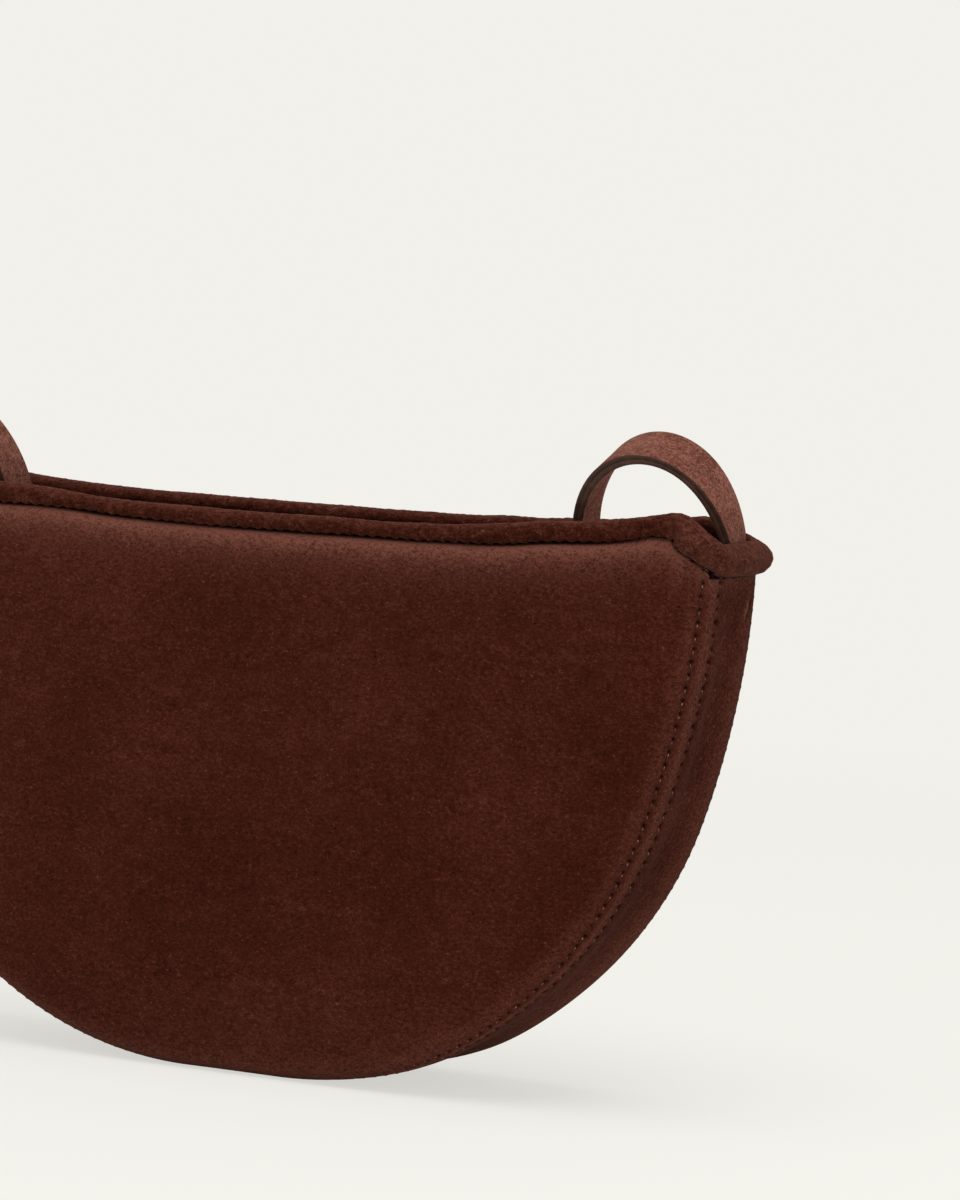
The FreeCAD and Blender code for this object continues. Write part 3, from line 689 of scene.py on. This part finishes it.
gusset = dict(
    thickness=1.4 * mm, seamDip=0.15 * mm, ripple=0.2 * mm, rippleLength=40 * mm, rippleSeed=9.0,
    sag=1.2 * mm, sagSharp=1.2, sagTop=150 * mm, sagReach=40 * mm,
    # painted sheen toward the back seam, and painted highlight under the binding
    backRub=0.45, backFrom=1 * mm, backReach=12 * mm, rimRub=0.3,
    # a crease painted as a highlight, with painted shade beside it; the surface itself is not creased
    creaseAt=(9 * mm, 139 * mm), creaseSize=(0.8 * mm, 2.6 * mm), creaseSlant=1.1, creaseRub=2.2,
    foldAt=(1.7, 0.3), foldShade=1.0,   # the painted shade on the dark side of the crease
    toRow=(77, 81, 85, 90), nearRow=(-9, -6, -3.5, -1.8, -0.9, 0, 0.9, 1.8, 3.5, 7, 11, 17),
    toFlat=(98, 108), flatRows=18)

gussetTurns = [(panel["seamTurn"] + away, dip) for away, dip in panel["seamDips"]]
gussetTurns += [(turn, 0) for turn in gusset["toRow"]]
gussetTurns += [(stitch["secondTurn"] + away, 0) for away in gusset["nearRow"]]


def edgePoints(s, side, turn, dent):
    # points round a panel's edge and their normals; past a quarter turn the strip runs straight back
    x, z, nx, nz = outlineAt(s)
    bend = np.minimum(turn, math.pi / 2)
    inset = moon["edgeRadius"] * (1 - np.sin(bend)) + dent * np.sin(bend)
    back = moon["edgeRadius"] * (1 - np.cos(bend) + turn - bend) + dent * np.cos(bend)
    points = np.stack([x - inset * nx, side * (halfDepth(z) - back), z - inset * nz], 1)
    return points, np.stack([nx * np.sin(bend), side * np.cos(bend), nz * np.sin(bend)], 1)


def rippleGusset(points, s):
    nx, nz = outlineAt(s)[2:]
    ripple = gusset["ripple"] * (1 + waver(points, gusset["rippleLength"], gusset["rippleSeed"]))
    points[..., 0] -= ripple * nx   # inward only
    points[..., 2] -= ripple * nz


def gussetHalf(side, shift, s):
    # rows from one seam to the middle of the strip; the back seam lies further round by the shift
    x, z, nx, nz = outlineAt(s)
    rows, shades, lightsAndRubs = [], [], []
    turns = [(degrees - shift, dip) for degrees, dip in gussetTurns]
    last = turns[-1][0]
    turns += [(degrees, 0) for degrees in gusset["toFlat"] if degrees > last]
    row = stitch["secondTurn"] - shift
    drift = rowDrift(s, side, "second")
    deep = stitch["holeDepth"] * (1 if side < 0 else stitch["backDepth"])   # the back's holes lie shallow
    for degrees, dip in turns:
        turn = drifted(degrees, row, turns[0][0], last, drift)
        off = moon["edgeRadius"] * (turn - np.radians(row + drift))
        # each needle hole is dented and painted with shade
        hole = holeShare(s, off / stitch["secondWidth"])
        rows.append(edgePoints(s, side, turn, dip * gusset["seamDip"] + hole * deep + grooveAt(off))[0])
        shades.append(hole)
        lightsAndRubs.append(edgeRub(degrees + shift, z))
    edge = rows[-1]
    low = eased((gusset["sagTop"] - z) / gusset["sagReach"])
    for share in np.arange(1, gusset["flatRows"] + 1) / gusset["flatRows"]:
        sink = gusset["sag"] * eased(share * gusset["sagSharp"]) * low
        rows.append(np.stack([x - sink * nx, edge[:, 1] * (1 - share), z - sink * nz], 1))
    plain = [np.zeros_like(s)] * gusset["flatRows"]
    return rows, shades + plain, lightsAndRubs + plain


def gussetStrip():
    s = ringColumns(0, -1, panel)
    halves = zip(gussetHalf(-1, 0, s), gussetHalf(1, stitch["backShift"], s))
    points, shades, lightsAndRubs = [np.array(front + back[-2::-1]) for front, back in halves]
    rippleGusset(points, s)
    rub, slit = rimRub(points[:, :, 0], points[:, :, 2], -1)
    offY, offZ = np.moveaxis((points[:, :, 1:] - gusset["creaseAt"]) / gusset["creaseSize"], 2, 0)
    line = offY - gusset["creaseSlant"] * offZ
    crease, fold = [hump(line, across, 1) * hump(offZ, along, 1) * (s > 0)
                    for across, along in ((0, 0), gusset["foldAt"])]
    # painted sheen toward the back edge of the strip
    backRub = gusset["backRub"] * eased((points[:, :, 1] - gusset["backFrom"]) / gusset["backReach"])
    obj = newSheet("gussetStrip", points, True, gussetSuede, gusset["thickness"])
    addValues(obj, "hole", np.maximum(np.maximum(shades, slit), gusset["foldShade"] * fold))
    addValues(obj, "rub", np.maximum(lightsAndRubs + gusset["rimRub"] * rub + gusset["creaseRub"] * crease, backRub))
    return obj


dress(gussetStrip(), "bag", "suede", "gusset")
print("gusset made")


# Lining with the stiffening behind it, in the same three sheets

lining = dict(
    sewn=0, thickness=0.6 * mm, radius=4.6 * mm, inward=3 * mm, step=3.6 * mm, covered=1.5 * mm,
    evenHeight=140 * mm, endColumns=6, seamDip=0.0, faceInsets=(9, 14, 20),
    turns=[(90, 0), (68, 0), (45, 0), (22, 0), (0, 0)], rows=14, stripRows=9,
    nearSlit=(35, 23, 13, 7, 3, 0, -1.5),
    ripple=0.25 * mm, rippleLength=35 * mm, rippleSeed=5.0)


def liningStrip():
    x, z = insideAt(ringColumns(lining["inward"], -1, lining), lining["inward"])
    reach = halfDepth(z) - lining["inward"] - lining["radius"]
    points = rowsAcross(x, reach, z, lining["stripRows"])
    return newSheet("gussetLining", points, True, twill, lining["thickness"])


for sheetName, sheetSide in (("front", -1), ("back", 1)):
    sheet = wallPanel(sheetName + "Lining", sheetSide, lining, lining["turns"], 0, twill)
    dress(sheet, "bag", "lining", sheetName + "_lining", sheetName + "_interlining")
dress(liningStrip(), "bag", "lining", "gusset_lining", "gusset_interlining")
print("lining made")


# Binding: a strip folded over the rim, swept round the mouth

def mouthBinding():
    outer = np.array(binding["outside"] + binding["inside"]) * mm
    inner = outer[-2:0:-1] * [-binding["innerLeaf"], 1]
    section = np.concatenate([outer, inner])
    onOuter = np.arange(len(section)) < len(outer)
    reach, lift = section.T
    fall = -lift / binding["drop"]   # 0 at the fold, 1 at the lower edge
    swell = rimSwell[:, None]
    belly = np.sqrt(np.maximum(np.sin(math.pi * np.clip(fall, 0, 1)), 0)) * swell
    grown = reach * (1 + binding["tipSwell"] * belly) + binding["tipOut"] * belly
    out = np.where(onOuter, grown, reach * (1 + (binding["tipInside"] - 1) * swell))
    up = lift * rimDeeper[:, None]
    low = eased(fall * 2 - 1) * onOuter
    pull = 0.5 + 0.5 * np.cos(2 * math.pi * rimLength / stitch["pitch"])[:, None]
    pull = binding["pinch"] * pull * (1 - binding["tipSlack"] * swell)
    out = out - binding["pinchIn"] * low * pull
    up = up + low * pull
    points = rimPoints[:, None] + out[:, :, None] * rimOut[:, None] + up[:, :, None] * rimUp[:, None]
    away = points - (rimPoints - rimUp * binding["drop"] / 2)[:, None]
    away /= np.maximum(np.linalg.norm(away, axis=2), tiny)[:, :, None]
    rough = binding["fuzz"] * waver(points, binding["fuzzLength"], binding["fuzzSeed"])
    rough += binding["lumps"] * waver(points, binding["lumpLength"], binding["lumpSeed"])
    points += away * rough[:, :, None]
    obj = newObject("mouthBinding", points, gridFaces(*points.shape[:2], True, True), [bindingSuede])
    # lighter along the fold and on the outer tips
    rub = binding["foldRub"] * hump(lift, 0, binding["foldReach"])
    addValues(obj, "rub", np.maximum(rub, binding["tipRub"] * rimTip[:, None] * onOuter))
    # painted shade on the inner leaf towards the tips
    inside = binding["insideShade"] * eased((rimAway - binding["insideFrom"]) / binding["tipReach"])
    addValues(obj, "hole", inside[:, None] * ~onOuter * eased(fall * 2))
    return obj


dress(mouthBinding(), "bag", "suede", "mouth_binding")
print("binding made")


# Thread: each stitch is its own short loop between two needle holes

sewing = dict(
    radius=0.22 * mm, sides=7, rings=9, reach=0.72, dive=0.5 * mm, under=0.1 * mm, sunk=0.04 * mm,
    thinEnd=0.55, glintAt=0.86, glintReach=0.13, glintLength=1.7 * mm, glintMiddle=0.75, glintSeed=4.4,
    glint=0.4, bindingGlint=0.2)


def stitches(name, starts, ends, normals, glint=sewing["glint"]):
    # every stitch runs from its start to its end, rising from one hole and diving into the next
    count, rings, sides = len(starts), sewing["rings"], sewing["sides"]
    t = np.linspace(0, 1, rings)
    arc = np.sin(math.pi * t) ** 0.5
    height = sewing["dive"] * (arc - 1) - sewing["sunk"]
    share = 0.5 + (t - 0.5) * sewing["reach"]
    along = ends - starts
    across = unit(np.cross(along, normals))
    centre = starts[:, None] + along[:, None] * share[:, None] + normals[:, None] * height[:, None]
    angle = np.arange(sides) * 2 * math.pi / sides
    thick = (sewing["thinEnd"] + (1 - sewing["thinEnd"]) * arc) * sewing["radius"]
    ring = np.cos(angle)[:, None] * across[:, None, None] + np.sin(angle)[:, None] * normals[:, None, None]
    points = centre[:, :, None] + ring * thick[:, None, None]
    one = gridFaces(rings, sides, closeColumns=True, flip=True)
    one += [cap[::-1] for cap in endCaps(rings, sides)]
    faces = [[v + k * rings * sides for v in face] for k in range(count) for face in one]
    obj = newObject(name, points, faces, [thread])
    lively = waver(starts, sewing["glintLength"], sewing["glintSeed"])   # some catch more light
    lively = np.clip(sewing["glintMiddle"] + lively, 0, 1)
    spot = hump(t, sewing["glintAt"], sewing["glintReach"])
    addValues(obj, "glint", np.repeat((glint * lively)[:, None] * spot, sides))
    return obj


def seamRow(side, shift, row):
    # points, normals and glints of one topstitched row along a panel's edge
    last = math.floor(lengthAtHeight(panel["evenHeight"]) / stitch["pitch"])
    s = np.arange(-last, last + 1) * stitch["pitch"]
    turn = np.radians(stitch[row + "Turn"] - shift + rowDrift(s, side, row))
    points, normals = edgePoints(s, side, turn, stitch["groove"])
    if row == "first":
        points[:, 1] += panelRipple(points, side, panel)
        return points, normals, rowShown(s, side)
    rippleGusset(points, s)
    return points, normals, np.ones_like(s)


for seamName, seamSide, seamShift in (("front", -1, 0), ("back", 1, stitch["backShift"])):
    rows = [seamRow(seamSide, seamShift, row) for row in ("first", "second")]
    starts, ways, glints = [np.concatenate([part[:-1] for part in parts]) for parts in zip(*rows)]
    ends = np.concatenate([row[0][1:] for row in rows])
    dress(stitches(seamName + "SeamThread", starts, ends, ways, glints), "bag", "suede")


def bindingThread():
    every = stitch["samples"]
    drop = (binding["drop"] * rimDeeper + sewing["under"])[:, None]
    out = (moon["wall"] / 2 - panel["tucked"] * (1 - rimSwell))[:, None]
    row = (rimPoints + rimOut * out - rimUp * drop)[::every]
    return stitches("bindingThread", row, np.roll(row, -1, 0), rimOut[::every], sewing["bindingGlint"])


dress(bindingThread(), "bag", "suede")
print("stitching made")


# Strap: two bonded plies with painted edges, bent over each end of the mouth

strap = dict(
    width=12.2 * mm, thickness=3.1 * mm, halfSpan=23.1 * mm, spring=154 * mm, height=29 * mm,
    shift=-0.4 * mm, setBack=3.5 * mm, outerIn=1.3 * mm,   # where the arch stands off its hinge
    lean=18.6 * degree, topTwist=12.6 * degree, legTilt=11.6 * degree,
    legYaw=2.6 * degree, outerYaw=-10.8 * degree, settleLow=145 * mm, settleHigh=155 * mm,
    bendReach=8 * mm, tailLow=119.5 * mm, tailHigh=145 * mm, runTop=104 * mm, step=1.2 * mm,
    plyGap=0.02 * mm, corner=0.25 * mm, cornerCut=0.3, tailInset=6.8 * mm, legDrop=3 * mm, floorRise=4.8 * mm,
    tailRows=14, archRows=57, legRows=18, softenings=6, runRows=6, runTurns=30)
rightHinge = next(j for j in frame["joints"] if j["name"] == "right_arch_lean")
hingeX, hingeZ = rightHinge["pos_m"][::2]
archX = hingeX + strap["shift"]
legX = archX - strap["halfSpan"]   # inner leg, which runs down into the bag


def strapSection():
    # across the strap and through it, with a fine line between the plies on both edges
    w, t, c, g = strap["width"] / 2, strap["thickness"] / 2, strap["corner"], strap["plyGap"]
    cut = strap["cornerCut"] * c
    quarter = [(w - g, 0), (w, g), (w, t - c), (w - cut, t - cut), (w - c, t), (w / 2, t)]
    upper = quarter + [(0, t)] + [(-a, b) for a, b in quarter[::-1]]
    lower = [(a, -b) for a, b in upper[-2:0:-1]]
    return np.array(upper + lower)


def ribbon(name, path, across, section, materials, edgeFrom):
    # sweep the section; across gives the strap's width direction at each point
    tangent = unit(np.gradient(path, axis=0))
    across = unit(across - (across * tangent).sum(1)[:, None] * tangent)
    face = np.cross(tangent, across)
    points = path[:, None] + section[None, :, :1] * across[:, None] + section[None, :, 1:] * face[:, None]
    rows, columns = points.shape[:2]
    faces = gridFaces(rows, columns, closeColumns=True) + endCaps(rows, columns)
    middle = section + np.roll(section, -1, 0)
    onEdge = np.abs(middle[:, 0]) / 2 > edgeFrom
    obj = newObject(name, points, faces, materials)
    kinds = np.where(onEdge, 1, np.where(middle[:, 1] < 0, 2, 0))   # outer face, edge, inner face
    slots = np.concatenate([np.tile(kinds, rows - 1), [1, 1]])
    obj.data.polygons.foreach_set("material_index", slots)
    return obj


def strapHalf(side):
    # tail sewn inside the end, arch over the rim, then down into the bag
    ends = lengthAtHeight(strap["tailLow"]), lengthAtHeight(strap["tailHigh"])
    tail = np.stack(insideAt(np.linspace(*ends, strap["tailRows"]), strap["tailInset"]), 1)
    turns = np.linspace(0, math.pi, strap["archRows"])
    outerPart = np.maximum(np.cos(turns), 0)
    arch = np.stack([archX + strap["halfSpan"] * np.cos(turns) - strap["outerIn"] * outerPart ** 2,
                     strap["spring"] + strap["height"] * np.sin(turns)], 1)
    legZ = np.linspace(strap["spring"] - strap["legDrop"], strap["runTop"], strap["legRows"])
    leg = np.stack([np.full_like(legZ, legX), legZ], 1)
    flat = np.concatenate([tail, arch, leg])
    over = np.concatenate([np.zeros(len(tail)), turns, np.full(len(leg), math.pi)])
    gone = lengthsAlong(flat)
    even = np.linspace(0, gone[-1], round(gone[-1] / strap["step"]))
    over = np.interp(even, gone, over)
    flat = np.stack([np.interp(even, gone, line) for line in flat.T], 1)
    for softening in range(strap["softenings"]):
        flat[1:-1] = (flat[:-2] + 2 * flat[1:-1] + flat[2:]) / 4
    settled = eased((flat[:, 1] - strap["settleLow"]) / (strap["settleHigh"] - strap["settleLow"]))
    lean = strap["lean"] * settled
    rise = flat[:, 1] - hingeZ
    y = strap["setBack"] * settled - rise * np.sin(lean)
    path = np.stack([flat[:, 0], y, hingeZ + rise * np.cos(lean)], 1)
    tilt = lean + settled * (strap["topTwist"] * np.sin(over) ** 2 + strap["legTilt"] * np.cos(over))
    yaw = settled * (strap["legYaw"] * np.cos(over) + strap["outerYaw"] * np.maximum(np.cos(over), 0) ** 3)
    across = np.stack([np.sin(yaw) * np.cos(tilt), np.cos(yaw) * np.cos(tilt), np.sin(tilt)], 1)
    mirror = [side, 1, 1]
    return path * mirror, across * mirror * -side


strapEdge = (strap["width"] - strap["corner"]) / 2
strapFinish = [strapSuede, paintedEdge, strapInnerSuede]
for strapName, strapSide in (("right", 1), ("left", -1)):
    path, across = strapHalf(strapSide)
    half = ribbon(strapName + "Strap", path, across, strapSection(), strapFinish, strapEdge)
    strapSide * hingeX
    hingeZ - strap["bendReach"]
    strapSide * hingeX
    hingeZ + strap["bendReach"]
    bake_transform(half)
    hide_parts(strapName + "_strap_arch", strapName + "_strap_tail")


def tuckedRun():
    # the rest of the strap, down one side of the bag, along its bottom and up the other
    bend = legX - flatHalf
    low = strap["floorRise"]
    legs = np.linspace(strap["runTop"], low + bend, strap["runRows"])[:-1]
    turns = np.linspace(0, math.pi / 2, strap["runTurns"])
    right = [(legX, z) for z in legs]
    right += [(flatHalf + bend * math.cos(a), low + bend * (1 - math.sin(a))) for a in turns]
    whole = np.array(right + [(-x, z) for x, z in right[::-1]])
    path = np.insert(whole, 1, 0, 1)
    across = np.full((len(path), 3), (0.0, -1.0, 0.0))
    return ribbon("tuckedStrap", path, across, strapSection(), strapFinish, strapEdge)


dress(tuckedRun(), "bag", "strap_suede", "strap_tucked_run")
print("strap made")


# Anchor patches behind the sewn tails

patch = dict(width=20 * mm, low=115.5 * mm, high=147 * mm, inset=3.7 * mm, thickness=1.5 * mm, round=3 * mm,
             columns=22, rows=13)
tailStitch = dict(margin=1.8 * mm, low=122 * mm, high=145 * mm, pitch=3 * mm, shortest=0.5 * mm)


def anchorPatch(name, side):
    s = np.linspace(lengthAtHeight(patch["low"]), lengthAtHeight(patch["high"]), patch["columns"])
    x, z = insideAt(s, patch["inset"])
    corner = np.maximum(patch["round"] - np.minimum(s - s[0], s[-1] - s), 0)
    half = patch["width"] / 2 - patch["round"] + np.sqrt(np.maximum(patch["round"] ** 2 - corner ** 2, 0))
    points = rowsAcross(side * x, half, z, patch["rows"])
    return newSheet(name, points, side > 0, strapSuede, patch["thickness"])


def tailThread(name, side):
    # a box of stitches through the tail, on its inner face
    half = strap["width"] / 2 - tailStitch["margin"]
    up = np.arange(tailStitch["low"], tailStitch["high"], tailStitch["pitch"])
    over = np.linspace(-half, half, round(2 * half / tailStitch["pitch"]) + 1)
    box = [(-half, z) for z in up] + [(y, tailStitch["high"]) for y in over] + [(half, z) for z in up[::-1]]
    box = np.array(box + [(y, tailStitch["low"]) for y in over[::-1]])
    x, z, nx, nz = outlineAt(lengthAtHeight(box[:, 1]))
    depth = strap["tailInset"] + strap["thickness"] / 2
    points = np.stack([side * (x - depth * nx), box[:, 0], z - depth * nz], 1)
    normals = np.stack([-side * nx, np.zeros_like(x), -nz], 1)
    ends = np.roll(points, -1, 0)
    keep = np.linalg.norm(ends - points, axis=1) > tailStitch["shortest"]
    return stitches(name, points[keep], ends[keep], normals[keep])


for endName, endSide in (("right", 1), ("left", -1)):
    dress(anchorPatch(endName + "AnchorPatch", endSide), "bag", "strap_suede", endName + "_anchor_patch")
    dress(tailThread(endName + "TailThread", endSide), "bag", "strap_suede")
print("strap ends made")


# Slip pocket on the back lining, its hem standing off a little

pocket = dict(halfWidth=55 * mm, low=45 * mm, high=115 * mm, thickness=0.8 * mm, gap=4.5 * mm,
              stand=1.6 * mm, hem=7 * mm, hemThick=0.5 * mm, hemEdge=1.2 * mm, columns=40, rows=28,
              seamIn=2.5 * mm, pitch=3.2 * mm)


def pocketDepth(x, z):
    up = np.clip((z - pocket["low"]) / (pocket["high"] - pocket["low"]), 0, 1)
    loose = pocket["stand"] * up ** 3 * (1 - (x / pocket["halfWidth"]) ** 2)
    return halfDepth(z) - pocket["gap"] - loose


def slipPocket():
    xs = np.linspace(-pocket["halfWidth"], pocket["halfWidth"], pocket["columns"])
    zs = np.linspace(pocket["low"], pocket["high"], pocket["rows"])
    x, z = np.meshgrid(xs, zs)
    hem = pocket["hemThick"] * eased((z - pocket["high"] + pocket["hem"]) / pocket["hemEdge"])
    points = np.stack([x, pocketDepth(x, z) - hem, z], -1)
    return newSheet("slipPocket", points, False, twill, pocket["thickness"])


def pocketThread():
    inside = pocket["halfWidth"] - pocket["seamIn"]
    low = pocket["low"] + pocket["seamIn"]
    down = np.arange(pocket["high"] - pocket["seamIn"], low, -pocket["pitch"])
    over = np.arange(-inside, inside, pocket["pitch"])
    route = [(-inside, z) for z in down] + [(x, low) for x in over] + [(inside, z) for z in down[::-1]]
    hemRow = [(x, pocket["high"] - pocket["hem"]) for x in over]
    lines = [np.array(line).T for line in (route, hemRow)]
    lines = [np.stack([x, pocketDepth(x, z), z], 1) for x, z in lines]
    starts = np.concatenate([line[:-1] for line in lines])
    ends = np.concatenate([line[1:] for line in lines])
    return stitches("pocketThread", starts, ends, np.full((len(starts), 3), (0.0, -1.0, 0.0)))


dress(slipPocket(), "bag", "lining", "slip_pocket")
dress(pocketThread(), "bag", "lining")
print("pocket made")


# Magnetic snap: the solids carry the finish

for nodeName in ("snap_socket", "snap_socket_rivet", "snap_stud", "snap_stud_rivet"):
    node = frame["nodes"][nodeName]
    node.data.materials.clear()
    node.data.materials.append(brass)
    node.data.polygons.foreach_set("use_smooth", [False] * len(node.data.polygons))


# Floor, light and camera

stage = dict(paper=(0.882, 0.872, 0.824), plainShare=0.7, fade=(0.3, 0.9), size=6.0,
             ambient=0.6, ambientTint=(1.0, 0.995, 0.98))
lamps = [
    dict(name="topSoftbox", at=(0.25, -0.3, 1.5), aim=(0.05, 0, 0.08), size=1.3, power=14.0),
    dict(name="rightSoftbox", at=(1.5, -0.55, 0.9), aim=(0.05, 0, 0.1), size=1.1, power=1.2),
]
shot = dict(azimuth=27.359 * degree, elevation=4.816 * degree, roll=2.179 * degree,
            distance=1429.2 * mm, lens=155.2, sensor=36, target=(62.72 * mm, 0, 136.36 * mm),
            clipFrom=0.05, clipTo=50)


def plainRays(paint):
    # 1 for rays that show the plain backdrop: seen straight, mirrored or through glass
    kinds = ("Is Camera Ray", "Is Glossy Ray", "Is Transmission Ray")
    camera, glossy, through = [paint.node("ShaderNodeLightPath", {}, {}, kind) for kind in kinds]
    return paint.maths("MINIMUM", camera + glossy + through, 1.0)


def paperFloor():
    material, paint, place = startMaterial("palePaper")
    away = paint.node("ShaderNodeVectorMath", {"operation": "LENGTH"}, {0: place}, "Value")
    fade = ranged(away, *stage["fade"], stage["plainShare"], 1.0)
    lit = paint.node("ShaderNodeBsdfDiffuse", {}, {"Color": stage["paper"]})
    plain = paint.node("ShaderNodeEmission", {}, {"Color": stage["paper"], "Strength": 1.0})
    mixed = paint.node("ShaderNodeMixShader", {}, {0: fade * plainRays(paint), 1: lit, 2: plain})
    paint.node("ShaderNodeOutputMaterial", {}, {"Surface": mixed})
    half = stage["size"] / 2
    corners = [(-half, -half, 0), (half, -half, 0), (half, half, 0), (-half, half, 0)]
    floor = newObject("paperFloor", corners, [[0, 1, 2, 3]], [material])


def studioWorld():
    world = bpy.data.worlds.new("studioWorld")
    paint = startPaint(world)
    ambient = paint.node("ShaderNodeBackground", {}, {
        "Color": stage["ambientTint"], "Strength": stage["ambient"]})
    backdrop = paint.node("ShaderNodeBackground", {}, {"Color": stage["paper"], "Strength": 1.0})
    mixed = paint.node("ShaderNodeMixShader", {}, {0: plainRays(paint), 1: ambient, 2: backdrop})
    paint.node("ShaderNodeOutputWorld", {}, {"Surface": mixed})
    bpy.context.scene.world = world


def addLamp(lamp):
    light = bpy.data.lights.new(lamp["name"], "AREA")
    light.shape = "DISK"
    light.size = lamp["size"]
    light.energy = lamp["power"]
    obj = placed(lamp["name"], light)
    obj.location = lamp["at"]
    obj.rotation_euler = (Vector(lamp["aim"]) - Vector(lamp["at"])).to_track_quat("-Z", "Y").to_euler()


def addCamera():
    a, e, r = shot["azimuth"], shot["elevation"], shot["roll"]
    right = Vector((math.cos(a), math.sin(a), 0))
    back = Vector((math.sin(a) * math.cos(e), -math.cos(a) * math.cos(e), math.sin(e)))
    up = back.cross(right)
    imageRight = right * math.cos(r) + up * math.sin(r)
    imageUp = up * math.cos(r) - right * math.sin(r)
    data = bpy.data.cameras.new("photoCamera")
    data.lens = shot["lens"]
    data.sensor_width = shot["sensor"]
    data.clip_start = shot["clipFrom"]
    data.clip_end = shot["clipTo"]
    camera = placed("photoCamera", data)
    stand = Matrix((imageRight, imageUp, back)).transposed().to_4x4()
    stand.translation = Vector(shot["target"]) + back * shot["distance"]
    camera.matrix_world = stand
    bpy.context.scene.camera = camera


paperFloor()
studioWorld()
for lamp in lamps:
    addLamp(lamp)
addCamera()
bpy.context.scene.view_settings.view_transform = "Standard"
print("floor, light and camera made")

bpy.context.view_layer.update()
